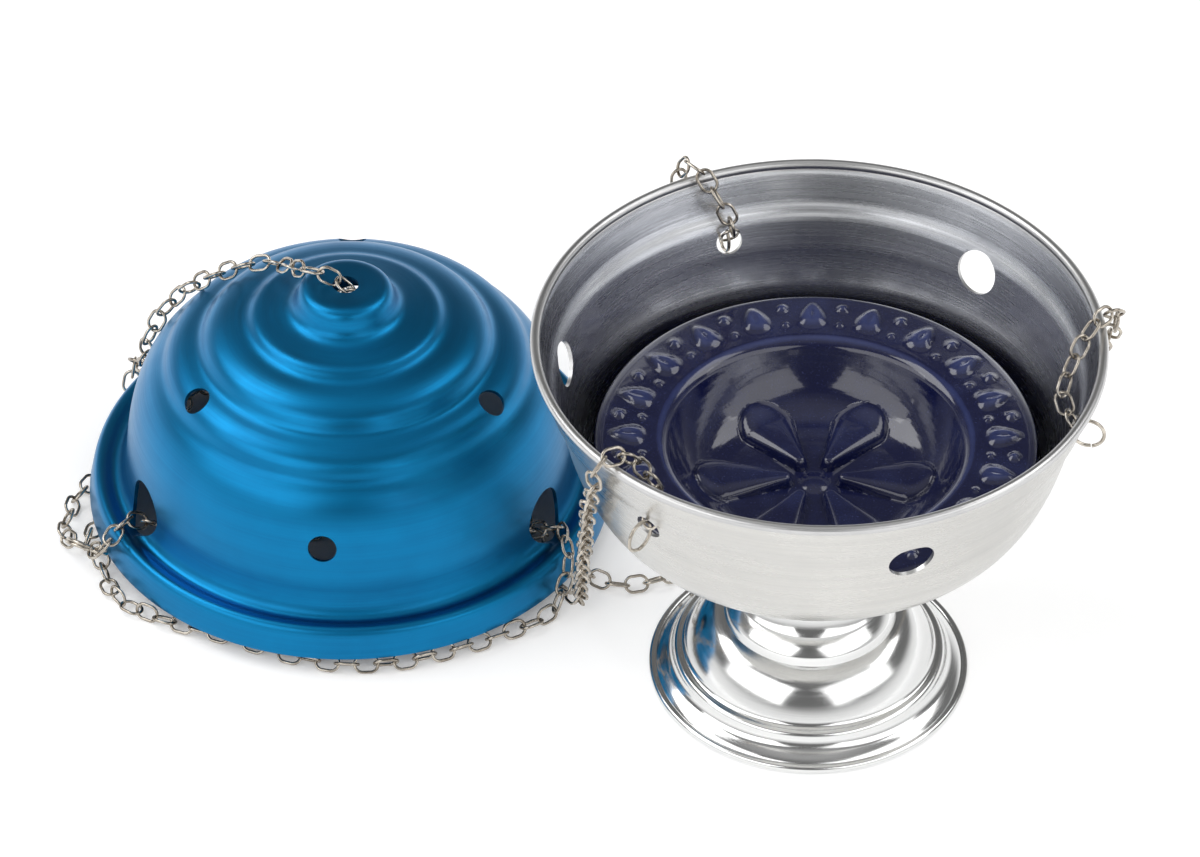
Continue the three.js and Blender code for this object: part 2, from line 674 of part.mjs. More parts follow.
// Up the bowl's inner wall from a hole and over the rim: distances from the rim bead's centre,
// outwards and up, and the share of the run's sideways drift.
const RIM_CROSSING = [
  [-10.3, -13.7, 0],
  [-11.6, -9.8, 0.1],
  [-9.7, -4.7, 0.3],
  [-5.9, 1.2, 0.55],
  [-2.1, 5, 0.7],
  [2.8, 5, 0.85],
  [5.8, 0.8, 0.95],
  [5, -5.2, 1],
];

function rimCrossing(turn, drift) {
  return RIM_CROSSING.map(([out, up, share]) => {
    return aboutBowl(RIM_RADIUS + out, turn + share * drift, RIM_HEIGHT + up);
  });
}

// Out of one of the lid's large holes and over the skirt's ridge to the table: distances
// outwards from the skirt and up from the ridge, and the share of the drift.
const SKIRT_CROSSING = [
  [-11.8, 0.6, 0],
  [-7.2, 3, 0],
  [-2.4, 3.6, 0.25],
  [1.4, 1.1, 0.5],
  [3.3, -3.4, 0.7],
  [3.6, -8.3, 0.88],
  [3.8, -12.3, 1],
];

function skirtCrossing(turn, drift) {
  return SKIRT_CROSSING.map(([out, up, share]) => {
    return aboutLid(SKIRT_RADIUS + out, turn + share * drift, RIDGE_HEIGHT + up);
  });
}

const CHAIN_RUNS = {
  front_chain_bowl_run: [
    ...rimCrossing(-40.5, -7.5),
    [-67.4, -49.5, 109],
    [-68.0, -35.0, 87],
    [-68.6, -20.0, 65],
    [-69.2, -5.0, 43],
    [-69.7, 8.5, 24],
    [-70.1, 18.5, 10.5],
    [-71.0, 25.0, 4.2],
    [-74.6, 31.0, REST_HEIGHT],
    [-81.8, 35.6, REST_HEIGHT],
    [-91.0, 38.6, REST_HEIGHT],
    [-101.0, 40.4, REST_HEIGHT],
  ],
  front_chain_inner_run: [
    [-101.4, 40.5, REST_HEIGHT],
    [-111.4, 42.3, REST_HEIGHT],
    [-120.5, 45.0, REST_HEIGHT],
    [-126.0, 51.0, REST_HEIGHT],
    [-122.0, 57.0, REST_HEIGHT],
    [-112.5, 57.2, REST_HEIGHT],
    [-102.5, 54.2, REST_HEIGHT],
    aboutLid(54, 63, 4.2),
    aboutLid(60, 62.5, 8.8),
    aboutLid(65, 62, 13.2),
    aboutLid(69.4, 62, 16.0),
  ],
  front_chain_outer_run: [
    ...skirtCrossing(62, -12),
    aboutLid(84.6, 45, REST_HEIGHT),
    aboutLid(82.6, 38, REST_HEIGHT),
    aboutLid(81.2, 30, REST_HEIGHT),
    aboutLid(80.8, 20, REST_HEIGHT),
    aboutLid(80.8, 10, REST_HEIGHT),
    aboutLid(80.2, 0, REST_HEIGHT),
    aboutLid(78.2, -10, REST_HEIGHT),
    aboutLid(76.8, -20, REST_HEIGHT),
    aboutLid(77.2, -30, REST_HEIGHT),
    aboutLid(80.2, -39, REST_HEIGHT),
    aboutLid(84.4, -47, REST_HEIGHT),
    aboutLid(86.6, -54, REST_HEIGHT),
    aboutLid(85.6, -60, REST_HEIGHT),
    [-218.2, 41.6, 2.9],
  ],
  right_chain_bowl_run: [
    ...rimCrossing(79.5, 19),
    [84.6, 22.0, 109],
    [79.0, 35.0, 84],
    [73.0, 48.0, 57],
    [67.2, 60.0, 31],
    [63.0, 68.5, 14],
    [58.5, 74.0, 5.2],
    [51.0, 77.5, REST_HEIGHT],
    [38.0, 78.5, REST_HEIGHT],
    [24.0, 76.5, REST_HEIGHT],
    [9.0, 71.5, REST_HEIGHT],
    [-5.0, 65.0, REST_HEIGHT],
    [-18.0, 57.0, REST_HEIGHT],
    [-29.5, 48.0, REST_HEIGHT],
    [-39.0, 40.0, REST_HEIGHT],
    [-48.0, 35.0, REST_HEIGHT],
    [-57.0, 33.0, REST_HEIGHT],
    [-64.6, 35.6, REST_HEIGHT],
    [-70.4, 41.6, REST_HEIGHT],
    [-75.6, 49.4, REST_HEIGHT],
    [-82.0, 57.4, REST_HEIGHT],
    [-90.5, 63.8, REST_HEIGHT],
  ],
  right_chain_inner_run: [
    [-90.8, 64.1, REST_HEIGHT],
    [-99.4, 70.4, REST_HEIGHT],
    [-111.0, 72.6, REST_HEIGHT],
    [-124.0, 68.4, REST_HEIGHT],
    [-136.0, 62.4, REST_HEIGHT],
    [-150.0, 58.0, REST_HEIGHT],
    [-166.0, 55.0, REST_HEIGHT],
    aboutLid(48, -62, REST_HEIGHT),
    aboutLid(54, -63, 4.2),
    aboutLid(60, -63.5, 8.8),
    aboutLid(65, -64, 13.2),
    aboutLid(69.4, -64, 16.0),
  ],
  right_chain_outer_run: [
    ...skirtCrossing(-64, 7).slice(0, 3),
    aboutLid(83.6, -60, 17.8),
    aboutLid(87.0, -60.5, 14.4),
    [-218.9, 39.8, 9.6],
  ],
  back_chain_bowl_run: [
    ...rimCrossing(-160.5, 8),
    [-43.8, 80.5, 112],
    [-46.0, 83.0, 88],
    [-48.0, 85.5, 62],
    [-50.0, 88.0, 36],
    [-52.0, 90.5, 15],
    [-54.5, 93.0, 5.4],
    [-60.0, 96.5, REST_HEIGHT],
    [-70.0, 100.0, REST_HEIGHT],
    [-84.0, 101.0, REST_HEIGHT],
    [-97.0, 98.0, REST_HEIGHT],
  ],
  back_chain_inner_run: [
    [-97.4, 97.9, REST_HEIGHT],
    [-110.4, 94.9, REST_HEIGHT],
    [-122.0, 88.4, REST_HEIGHT],
    [-134.0, 84.0, REST_HEIGHT],
    [-147.0, 84.0, REST_HEIGHT],
    [-155.5, 91.0, REST_HEIGHT],
    [-153.5, 101.0, REST_HEIGHT],
    [-145.5, 107.5, REST_HEIGHT],
    [-141.8, 116.0, REST_HEIGHT],
    [-141.6, 124.5, REST_HEIGHT],
    aboutLid(54, 179, 4.2),
    aboutLid(60, 179.5, 8.8),
    aboutLid(65, 180, 13.2),
    aboutLid(69.4, 180, 16.0),
  ],
  back_chain_outer_run: [
    ...skirtCrossing(180, 9),
    aboutLid(83, 194, REST_HEIGHT),
    aboutLid(77.5, 200, REST_HEIGHT),
    aboutLid(73, 208, REST_HEIGHT),
    aboutLid(70, 218, REST_HEIGHT),
    aboutLid(69, 229, REST_HEIGHT),
    aboutLid(69, 241, REST_HEIGHT),
    aboutLid(69.5, 253, REST_HEIGHT),
    aboutLid(71, 264, REST_HEIGHT),
    aboutLid(74.5, 273, REST_HEIGHT),
    aboutLid(79.5, 280, REST_HEIGHT),
    [-222.2, 57.4, REST_HEIGHT],
    [-222.6, 52.4, REST_HEIGHT],
  ],
  lid_chain: [
    aboutLid(4.2, -99, 89.3),
    aboutLid(8.5, -101, 90),
    aboutLid(13.6, -106, 89.4),
    aboutLid(18.2, -116, 86),
    aboutLid(22.8, -126, 82.4),
    aboutLid(30, -130, 79),
    aboutLid(37, -127, 76.2),
    aboutLid(44, -123, 72.2),
    aboutLid(51, -122, 66.8),
    aboutLid(58, -121, 60.6),
    aboutLid(64.4, -119, 53),
    aboutLid(68.9, -116, 44),
    aboutLid(71.4, -115, 35),
    aboutLid(73.2, -117, 27),
    aboutLid(76.5, -120, 21),
    aboutLid(80.3, -122, 18.8),
    aboutLid(83.6, -123.5, 16),
    aboutLid(85.0, -124, 11),
    aboutLid(85.0, -123, 6),
    aboutLid(83.4, -120, REST_HEIGHT),
    aboutLid(79, -114, REST_HEIGHT),
    aboutLid(77.6, -105, REST_HEIGHT),
    aboutLid(79.6, -96, REST_HEIGHT),
    [-226.2, 76.0, REST_HEIGHT],
    [-229.2, 69.5, REST_HEIGHT],
    [-230.0, 63.5, REST_HEIGHT],
    [-231.0, 57.4, REST_HEIGHT],
    [-230.6, 51.2, 3.8],
  ],
};

// A strand of chain as a plain round cord along its route.
function makeStrand(points) {
  const route = new THREE.CatmullRomCurve3(
    points.map((p) => new THREE.Vector3(...p)),
    false,
    "centripetal",
  );
  const section = new THREE.Shape();
  section.absarc(0, 0, CHAIN_RADIUS, 0, 2 * Math.PI);
  const steps = Math.ceil(route.getLength() / CHAIN_STEP);
  return new THREE.ExtrudeGeometry(section, {
    extrudePath: route,
    steps,
    curveSegments: CHAIN_SIDES / 2,
    bevelEnabled: false,
  });
}

addPiece(burner, "foot", makeFoot(), aluminium);
addPiece(burner, "bowl", makeBowl(), aluminium);
addPiece(burner, "foot_rivet", makeRivet(), aluminium);
addPiece(burner, "rivet_washer", makeWasher(), aluminium);
addPiece(burner, "ceramic_dish", makeDish(), glaze);
addPiece(lidGroup, "lid", makeLid(), lidBlue);
addPiece(lidGroup, "lid_link", makeLidLink(), nickel);
addPiece(lidGroup, "lid_ring", makeLidRing(), nickel);
addPiece(burner, "gathering_ring", makeGatherRing(), nickel);

["front", "right", "back"].forEach((name, i) => {
  const turn = CHAIN_HOLE_TURN + 120 * i;
  const frame = wallFrame(bowlOutline(), HOLE_HEIGHT, turn);
  addPiece(burner, name + "_jump_ring", makeJumpRing(frame), nickel);
  addPiece(burner, name + "_end_link", makeBowlLink(frame), nickel);
});

for (const [name, points] of Object.entries(CHAIN_RUNS)) {
  addPiece(burner, name, makeStrand(points), nickel);
}

// The origin is at the middle of the rigid pieces' plan, on the table.
const reachLeft = LID_X - SKIRT_RADIUS;
const reachRight = RIM_RADIUS + RIM_BEAD_WIRE;
const reachFront = -(RIM_RADIUS + RIM_BEAD_WIRE);
const reachBack = LID_Y + SKIRT_RADIUS;
burner.add(lidGroup);
burner.position.set(-(reachLeft + reachRight) / 2, -(reachFront + reachBack) / 2, 0);

const object = new THREE.Group();
object.add(burner);

export default object;
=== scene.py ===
import math
import random

import bpy
import numpy as np
from mathutils import Matrix, Vector


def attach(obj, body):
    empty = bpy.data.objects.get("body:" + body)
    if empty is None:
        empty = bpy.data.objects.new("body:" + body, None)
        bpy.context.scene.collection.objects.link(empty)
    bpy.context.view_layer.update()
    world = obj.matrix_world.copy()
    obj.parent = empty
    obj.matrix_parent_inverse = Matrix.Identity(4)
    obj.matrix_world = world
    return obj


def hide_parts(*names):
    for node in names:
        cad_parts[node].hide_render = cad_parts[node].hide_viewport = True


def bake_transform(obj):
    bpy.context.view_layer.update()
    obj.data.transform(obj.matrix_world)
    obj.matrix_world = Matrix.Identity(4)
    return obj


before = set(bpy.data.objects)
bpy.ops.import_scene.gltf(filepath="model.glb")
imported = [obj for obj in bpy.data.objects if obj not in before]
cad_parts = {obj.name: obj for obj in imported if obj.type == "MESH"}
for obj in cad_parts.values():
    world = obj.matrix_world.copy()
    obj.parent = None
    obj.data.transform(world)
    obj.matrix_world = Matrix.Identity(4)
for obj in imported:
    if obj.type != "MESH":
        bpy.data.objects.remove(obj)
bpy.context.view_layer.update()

# Sizes are in millimetres here, as in the part's source, and MM turns them into metres.
MM = 0.001
CLEARANCE = 0.3
BOWL_X = 69.5
BOWL_Y = -36.55
LID_X = BOWL_X - 142.4
LID_Y = BOWL_Y + 76.5
LID_BASE = 5.6

SHELL_SEGMENTS = 288
DISH_SEGMENTS = 432
WIRE_SEGMENTS = 40
WIRE_SIDES = 12
CURVE_STEPS = 14
HOLE_SEGMENTS = 72
ARC_STEP = math.radians(9)

# Foot
FOOT_WALL = 1.2
FOOT_LIP_RADIUS = 47.6
FOOT_LIP_WIRE = 1.4
FOOT_STEP_RADIUS = 41.5
FOOT_STEP_HEIGHT = 9.6
FOOT_COLLAR_RADIUS = 25.6
FOOT_COLLAR_HEIGHT = 24
FOOT_NECK_RADIUS = 18.6
FOOT_NECK_HEIGHT = 43
FOOT_SEAT_RADIUS = 24
FOOT_HEIGHT = 56.7
RIVET_RADIUS = 2.3
RIVET_HEAD_RADIUS = 4.4
RIVET_HEAD_HEIGHT = 1.8
WASHER_RADIUS = 8
WASHER_THICKNESS = 1
RIVET_HOLE_RADIUS = RIVET_RADIUS + CLEARANCE

# Bowl
BOWL_WALL = 1.2
BOWL_BASE = FOOT_HEIGHT + CLEARANCE
RIM_RADIUS = 83.5
RIM_RISE = 72.2
RIM_BEAD_WIRE = 1.5
BOWL_HOLE_RISE = 51
CHAIN_HOLE_RADIUS = 4.1
VENT_RADIUS = 6.9
CHAIN_HOLE_TURN = -40.5
VENT_TURN = 19.5

# Dish
DISH_RADIUS = 66
DISH_HEIGHT = 31.5
DISH_WELL_RADIUS = 45.5
DISH_WELL_DEPTH = 19
DISH_WELL_FLOOR_RADIUS = 27
DISH_FOOT_RADIUS = 34
DISH_EDGE_ROUND = 3.2

# Lid
LID_WALL = 1.2
SKIRT_RADIUS = 81.6
LID_RIDGE_RISE = 10.1
LID_GROOVE_RADIUS = 73.3
LID_GROOVE_RISE = 7.3
LID_WALL_RADIUS = 69.4
LID_WALL_RISE = 16
LID_SHOULDER_RADIUS = 58.6
LID_SHOULDER_RISE = 48.6
LID_STEPS = [(46.5, 58.3), (31, 67.6), (19.5, 71.9)]
KNOB_RADIUS = 15.2
KNOB_RISE = 80.8
KNOB_HOLE_RADIUS = 4
LID_CHAIN_HOLE_RADIUS = 8.7
LID_CHAIN_HOLE_RISE = 16
LID_CHAIN_HOLE_TURNS = [-64, 62, 180]
LID_VENT_RADIUS = 4.4
LID_LOW_VENT_RISE = 32
LID_LOW_VENT_TURN = -5
LID_HIGH_VENT_RADIUS = 52.3
LID_HIGH_VENT_TURN = 60
LID_SOFTNESS = 2.8

# Chain and rings
LINK_LENGTH = 8.2
LINK_WIDTH = 6
LINK_WIRE = 0.45
CHAIN_WIRE = 0.5
LINK_PITCH = LINK_LENGTH - 4 * CHAIN_WIRE
JUMP_RING_RADIUS = 4.75
JUMP_RING_WIRE = 0.55
HOOK = JUMP_RING_WIRE + LINK_WIRE + CLEARANCE
BOWL_LINK_TILT = 45
LID_LINK_TILT = 40
LID_LINK_HEADING = -99
GATHER_RING_RADIUS = 5.4
GATHER_RING_WIRE = 1.1
GATHER_RING_AXIS = Vector((-0.361, -0.629, -0.688)).normalized()
GATHER_RING_X = BOWL_X - 224.3
GATHER_RING_Y = BOWL_Y + 46.2


# Node materials

class Nodes:
    """The node tree of a material or of the world, with short calls for the nodes used here."""

    def __init__(self, owner, output="ShaderNodeOutputMaterial"):
        owner.use_nodes = True
        self.owner = owner
        self.tree = owner.node_tree
        self.tree.nodes.clear()
        self.output = self.tree.nodes.new(output)

    def add(self, kind, inputs=None, **settings):
        """A new node. Its inputs, by number or name, are values or other nodes' outputs."""
        node = self.tree.nodes.new(kind)
        for key, value in settings.items():
            setattr(node, key, value)
        for key, value in (inputs or {}).items():
            if isinstance(value, bpy.types.NodeSocket):
                self.tree.links.new(value, node.inputs[key])
            else:
                node.inputs[key].default_value = value
        return node

    def math(self, operation, a, b=0.0, clamp=False):
        return self.add("ShaderNodeMath", {0: a, 1: b}, operation=operation, use_clamp=clamp).outputs[0]

    def vector(self, operation, a, b=(0, 0, 0)):
        node = self.add("ShaderNodeVectorMath", {0: a, 1: b}, operation=operation)
        return node.outputs["Value" if operation == "LENGTH" else "Vector"]

    def span(self, value, low, high, out_low, out_high):
        inputs = {0: value, 1: low, 2: high, 3: out_low, 4: out_high}
        return self.add("ShaderNodeMapRange", inputs).outputs[0]

    def mix(self, share, a, b):
        return self.add("ShaderNodeMix", {0: share, 6: a, 7: b}, data_type="RGBA").outputs[2]

    def noise(self, vector, scale, detail=2.0, rough=0.5, w=None):
        inputs = {"Vector": vector, "Scale": scale, "Detail": detail, "Roughness": rough}
        if w is not None:
            inputs["W"] = w
        kind = "3D" if w is None else "4D"
        return self.add("ShaderNodeTexNoise", inputs, noise_dimensions=kind).outputs[0]

    def bump(self, height, strength, distance):
        inputs = {"Height": height, "Strength": strength, "Distance": distance}
        return self.add("ShaderNodeBump", inputs).outputs[0]

    def place(self):
        return self.add("ShaderNodeTexCoord").outputs["Object"]

    def split(self, vector):
        return self.add("ShaderNodeSeparateXYZ", {0: vector}).outputs

    def join(self, x, y, z=0.0):
        return self.add("ShaderNodeCombineXYZ", {0: x, 1: y, 2: z}).outputs[0]

    def spun(self, lines_per_mm, round_scale):
        """Noise drawn out into lines round the piece's own axis: a vector and a fourth coordinate."""
        x, y, z = self.split(self.place())
        flat = self.join(x, y)
        turn = self.split(self.vector("NORMALIZE", flat))
        per_metre = lines_per_mm / MM
        lines = self.join(
            self.math("MULTIPLY", self.vector("LENGTH", flat), per_metre),
            self.math("MULTIPLY", z, per_metre),
            self.math("MULTIPLY", turn[0], round_scale),
        )
        return lines, self.math("MULTIPLY", turn[1], round_scale)

    def finish(self, shader):
        self.tree.links.new(shader.outputs[0], self.output.inputs[0])
        return self.owner

    def shader(self, **inputs):
        named = {key.replace("_", " "): value for key, value in inputs.items()}
        return self.finish(self.add("ShaderNodeBsdfPrincipled", named))

    def choose(self, plain, seen):
        """One shader for the light on the object, another for what the camera, metal and glass see."""
        ray = self.add("ShaderNodeLightPath").outputs
        share = self.math("ADD", ray["Is Camera Ray"], ray["Is Glossy Ray"])
        share = self.math("ADD", share, ray["Is Transmission Ray"], clamp=True)
        inputs = {0: share, 1: plain.outputs[0], 2: seen.outputs[0]}
        return self.finish(self.add("ShaderNodeMixShader", inputs))


def spun_metal(name, light, dark, rough, streak, line_bump, anisotropy, lines=2.2, **more):
    """Spun sheet: fine turning lines, wider soft bands and a little wear."""
    n = Nodes(bpy.data.materials.new(name))
    fine_vector, fine_w = n.spun(lines, 1.4)
    fine = n.noise(fine_vector, 1.0, 3.0, 0.6, fine_w)
    broad_vector, broad_w = n.spun(lines / 7, 1.0)
    broad = n.noise(broad_vector, 1.0, 2.0, 0.5, broad_w)
    cloud = n.noise(n.place(), 42.0, 4.0, 0.62)
    speck = n.noise(n.place(), 900.0, 2.0, 0.5)
    share = n.math("MULTIPLY", n.span(fine, 0.3, 0.7, 0.0, 1.0), streak)
    share = n.math("ADD", share, n.math("MULTIPLY", n.span(broad, 0.35, 0.65, 0.0, 1.0), streak))
    share = n.math("ADD", share, n.math("MULTIPLY", n.span(cloud, 0.4, 0.75, 0.0, 1.0), streak), clamp=True)
    worn = n.span(cloud, 0.3, 0.7, rough - 0.03, rough + 0.05)
    height = n.math("ADD", fine, n.math("MULTIPLY", speck, 0.35))
    return n.shader(
        Base_Color=n.mix(share, (*light, 1), (*dark, 1)),
        Metallic=1.0,
        Roughness=n.math("ADD", n.span(fine, 0.3, 0.7, -0.05, 0.05), worn),
        Anisotropic=anisotropy,
        Tangent=n.add("ShaderNodeTangent", direction_type="RADIAL", axis="Z").outputs[0],
        Normal=n.bump(height, line_bump, 0.00006),
        **more,
    )


def glaze_material():
    """Deep navy glaze, thinner and lighter on raised edges, pooled dark in the hollows."""
    n = Nodes(bpy.data.materials.new("navy_glaze"))
    relief = n.add("ShaderNodeAttribute", attribute_name="relief").outputs["Fac"]
    cloud = n.noise(n.place(), 60.0, 4.0, 0.6)
    speck = n.noise(n.place(), 1500.0, 2.0, 0.6)
    patch = n.span(cloud, 0.35, 0.75, -0.12, 0.28)
    share = n.math("ADD", n.span(relief, 0.25, 0.95, 0.0, 0.8), patch, clamp=True)
    colour = n.mix(share, (0.004, 0.006, 0.04, 1), (0.035, 0.05, 0.16, 1))
    colour = n.mix(n.span(speck, 0.62, 0.75, 0.0, 0.3), colour, (0.09, 0.11, 0.26, 1))
    ripple = n.noise(n.place(), 150.0, 2.0, 0.5)
    return n.shader(
        Base_Color=colour,
        Roughness=n.span(cloud, 0.3, 0.7, 0.1, 0.2),
        IOR=1.5,
        Specular_IOR_Level=0.5,
        Coat_Weight=0.6,
        Coat_Roughness=0.04,
        Normal=n.bump(ripple, 0.25, 0.0004),
    )


def nickel_material(name, light, dark, rough):
    n = Nodes(bpy.data.materials.new(name))
    cloud = n.noise(n.place(), 260.0, 3.0, 0.6)
    scratch = n.noise(n.place(), 2600.0, 2.0, 0.6)
    colour = n.mix(n.span(cloud, 0.38, 0.68, 0.0, 1.0), (*light, 1), (*dark, 1))
    return n.shader(
        Base_Color=colour,
        Metallic=1.0,
        Roughness=n.span(scratch, 0.3, 0.7, rough - 0.05, rough + 0.08),
        Normal=n.bump(scratch, 0.3, 0.00008),
    )


LID_BLUE = spun_metal(
    "blue_anodised", (0.0, 0.2, 0.44), (0.0, 0.145, 0.34), 0.36, 0.32, 0.12, 0.35,
    lines=1.6, Coat_Weight=0.2, Coat_Roughness=0.35,
)
BOWL_OUTSIDE = spun_metal("bowl_outside", (0.65, 0.64, 0.615), (0.54, 0.535, 0.52), 0.28, 0.3, 0.14, 0.4)
BOWL_INSIDE = spun_metal(
    "bowl_inside", (0.79, 0.8, 0.82), (0.45, 0.46, 0.49), 0.25, 0.4, 0.4, 0.55, lines=1.3,
)
RIM_METAL = spun_metal("bowl_rim", (0.72, 0.72, 0.71), (0.45, 0.45, 0.46), 0.32, 0.35, 0.3, 0.3, lines=2.6)
FOOT_METAL = spun_metal("foot_polished", (0.82, 0.82, 0.81), (0.7, 0.71, 0.72), 0.14, 0.2, 0.1, 0.35)
FIXING_METAL = spun_metal("fixing_aluminium", (0.7, 0.7, 0.7), (0.5, 0.5, 0.5), 0.35, 0.3, 0.3, 0.2)
GLAZE = glaze_material()
CHAIN_METAL = nickel_material("chain_nickel", (0.56, 0.515, 0.45), (0.26, 0.225, 0.185), 0.2)
RING_METAL = nickel_material("ring_nickel", (0.6, 0.555, 0.49), (0.32, 0.285, 0.24), 0.17)


# Outlines

def outline(start, *moves, steps=CURVE_STEPS):
    """Points along a line of straight and curved moves, given as (x, y) pairs after each start."""
    points = [np.array(start, float)]
    for move in moves:
        ends = [points[-1]] + [np.array(p, float) for p in move]
        order = len(ends) - 1
        count = 1 if order == 1 else steps
        for i in range(1, count + 1):
            t = i / count
            level = ends
            for _ in range(order):
                level = [a + t * (b - a) for a, b in zip(level, level[1:])]
            points.append(level[0])
    return np.array(points)


def divided(points, step):
    """The same line with its long stretches divided."""
    out = [points[0]]
    for a, b in zip(points, points[1:]):
        count = max(1, math.ceil(np.linalg.norm(b - a) / step))
        out += [a + (b - a) * i / count for i in range(1, count + 1)]
    return np.array(out)


def reach_along(points):
    """How far along the line each of its points is."""
    return np.concatenate([[0], np.cumsum(np.linalg.norm(np.diff(points, axis=0), axis=1))])


def points_at(distances, at, points):
    return np.stack([np.interp(distances, at, values) for values in points.T], 1)


def softened(points, reach, step=0.5):
    """The same line with its corners eased over a reach, but with its two ends kept."""
    at = reach_along(points)
    even = np.linspace(0, at[-1], math.ceil(at[-1] / step) + 1)
    line = points_at(even, at, points)
    out = []
    for distance in even:
        room = min(reach, distance, at[-1] - distance) + 1e-6
        weight = np.exp(-0.5 * ((even - distance) / (room / 2)) ** 2)
        out.append((line * weight[:, None]).sum(0) / weight.sum())
    return np.array(out)


def inside_of(points, wall, window=2):
    """The sheet's other face, a wall's thickness to the left of the line."""
    out = []
    last = len(points) - 1
    for i, p in enumerate(points):
        along = points[min(i + window, last)] - points[max(i - window, 0)]
        along = along / np.linalg.norm(along)
        out.append((p[0] - wall * along[1], p[1] + wall * along[0]))
    return np.array(out)


def beaded(outer, inner, centre, radius):
    """The parts of a closed loop: the outer line, a bead round its end, and the inner line."""
    centre = np.array(centre, float)
    keep_outer = [p for p in outer if np.linalg.norm(p - centre) > radius]
    keep_inner = [p for p in inner if np.linalg.norm(p - centre) > radius]
    first = keep_outer[-1] - centre
    last = keep_inner[-1] - centre
    start = math.atan2(first[1], first[0])
    end = math.atan2(last[1], last[0])
    while end <= start:
        end += 2 * math.pi
    angles = np.linspace(start, end, math.ceil((end - start) / ARC_STEP) + 1)
    bead = centre + radius * np.stack([np.cos(angles), np.sin(angles)], 1)
    return np.array(keep_outer), bead, np.array(keep_inner)


def add_object(name, vertices, faces, materials, indices=None, x=0, y=0):
    """A mesh object in the scene. Its points are in metres, and its place on the table is in millimetres."""
    mesh = bpy.data.meshes.new(name)
    mesh.from_pydata(vertices, [], faces)
    for material in materials:
        mesh.materials.append(material)
    if indices is not None:
        mesh.polygons.foreach_set("material_index", indices)
    mesh.update()
    obj = bpy.data.objects.new(name, mesh)
    obj.location = (x * MM, y * MM, 0)
    bpy.context.scene.collection.objects.link(obj)
    return obj


def tube_faces(base, stations, sides, closed):
    """Faces of a tube whose points stand in rings one after another. An open tube gets its two ends."""
    faces = []
    for i in range(stations if closed else stations - 1):
        a, b = base + i * sides, base + (i + 1) % stations * sides
        for k in range(sides):
            m = (k + 1) % sides
            faces.append((a + k, a + m, b + m, b + k))
    if not closed:
        last = base + (stations - 1) * sides
        faces.append(tuple(base + k for k in reversed(range(sides))))
        faces.append(tuple(last + k for k in range(sides)))
    return faces


def lathe(name, x, y, parts, segments, materials, closed=True):
    """Turns lines of radius and height about the upright axis through x, y. A part has a material index."""
    points = np.concatenate([np.array(p) for p, _ in parts])
    kinds = [k for p, k in parts for _ in p]
    on_axis = points[:, 0] < 1e-6
    starts, vertices = [], []
    for point, pole in zip(points, on_axis):
        starts.append(len(vertices))
        for i in range(1 if pole else segments):
            angle = 2 * math.pi * i / segments
            radius = 0.0 if pole else point[0]
            vertices.append((radius * math.cos(angle) * MM, radius * math.sin(angle) * MM, point[1] * MM))
    faces, indices = [], []
    rows = len(points)
    for a in range(rows if closed else rows - 1):
        b = (a + 1) % rows
        if on_axis[a] and on_axis[b]:
            continue
        for i in range(segments):
            j = (i + 1) % segments
            corners = [(a, i), (a, j), (b, j), (b, i)]
            face = [starts[row] + (0 if on_axis[row] else turn) for row, turn in corners]
            # At a pole two corners are one.
            faces.append(tuple(dict.fromkeys(face)))
            indices.append(kinds[a])
    return add_object(name, vertices, faces, materials, indices, x, y)


def smooth(obj, angle=32):
    mesh = obj.data
    mesh.polygons.foreach_set("use_smooth", [True] * len(mesh.polygons))
    mesh.set_sharp_from_angle(angle=math.radians(angle))
    mesh.update()
    return obj


def heading(turn):
    """Direction on the table of a turn in degrees from the front, positive to the right."""
    return Vector((math.sin(math.radians(turn)), -math.cos(math.radians(turn)), 0))


def wall_at(points, height):
    """The outline's radius at a height, and the two parts of its outward direction there."""
    for p, q in zip(points, points[1:]):
        if min(p[1], q[1]) <= height <= max(p[1], q[1]) and p[1] != q[1]:
            share = (height - p[1]) / (q[1] - p[1])
            along = (q - p) / np.linalg.norm(q - p)
            return p[0] + share * (q[0] - p[0]), along[1], -along[0]
    raise ValueError("the outline doesn't reach that height")


def rise_at(points, radius):
    for p, q in zip(points, points[1:]):
        if min(p[0], q[0]) <= radius <= max(p[0], q[0]) and p[0] != q[0]:
            return p[1] + (radius - p[0]) / (q[0] - p[0]) * (q[1] - p[1])
    raise ValueError("the outline doesn't reach that radius")


def wall_frame(points, height, turn):
    """On the wall: x out of the sheet, y along it to the side, z up the sheet. In millimetres."""
    radius, outward, upward = wall_at(points, height)
    side = heading(turn)
    out = Vector((side.x * outward, side.y * outward, upward))
    across = Vector((0, 0, 1)).cross(side).normalized()
    up_sheet = out.cross(across).normalized()
    matrix = Matrix((out, across, up_sheet)).transposed().to_4x4()
    matrix.translation = Vector((side.x * radius, side.y * radius, height))
    return matrix


def punch_holes(obj, holes, index):
    """Cuts round holes through a sheet. A hole is its frame on the wall, its radius and its reach."""
    vertices, faces = [], []
    for matrix, radius, reach in holes:
        faces += tube_faces(len(vertices), 2, HOLE_SEGMENTS, False)
        for end in (-reach / 2, reach / 2):
            for i in range(HOLE_SEGMENTS):
                angle = 2 * math.pi * i / HOLE_SEGMENTS
                local = Vector((end, radius * math.cos(angle), radius * math.sin(angle)))
                vertices.append(tuple((matrix @ local) * MM))
    cutter = add_object("punches", vertices, faces, obj.data.materials, [index] * len(faces))
    cutter.location = obj.location
    modifier = obj.modifiers.new("holes", "BOOLEAN")
    modifier.operation = "DIFFERENCE"
    modifier.solver = "EXACT"
    modifier.object = cutter
    apply_modifiers(obj)
    mesh = cutter.data
    bpy.data.objects.remove(cutter)
    bpy.data.meshes.remove(mesh)


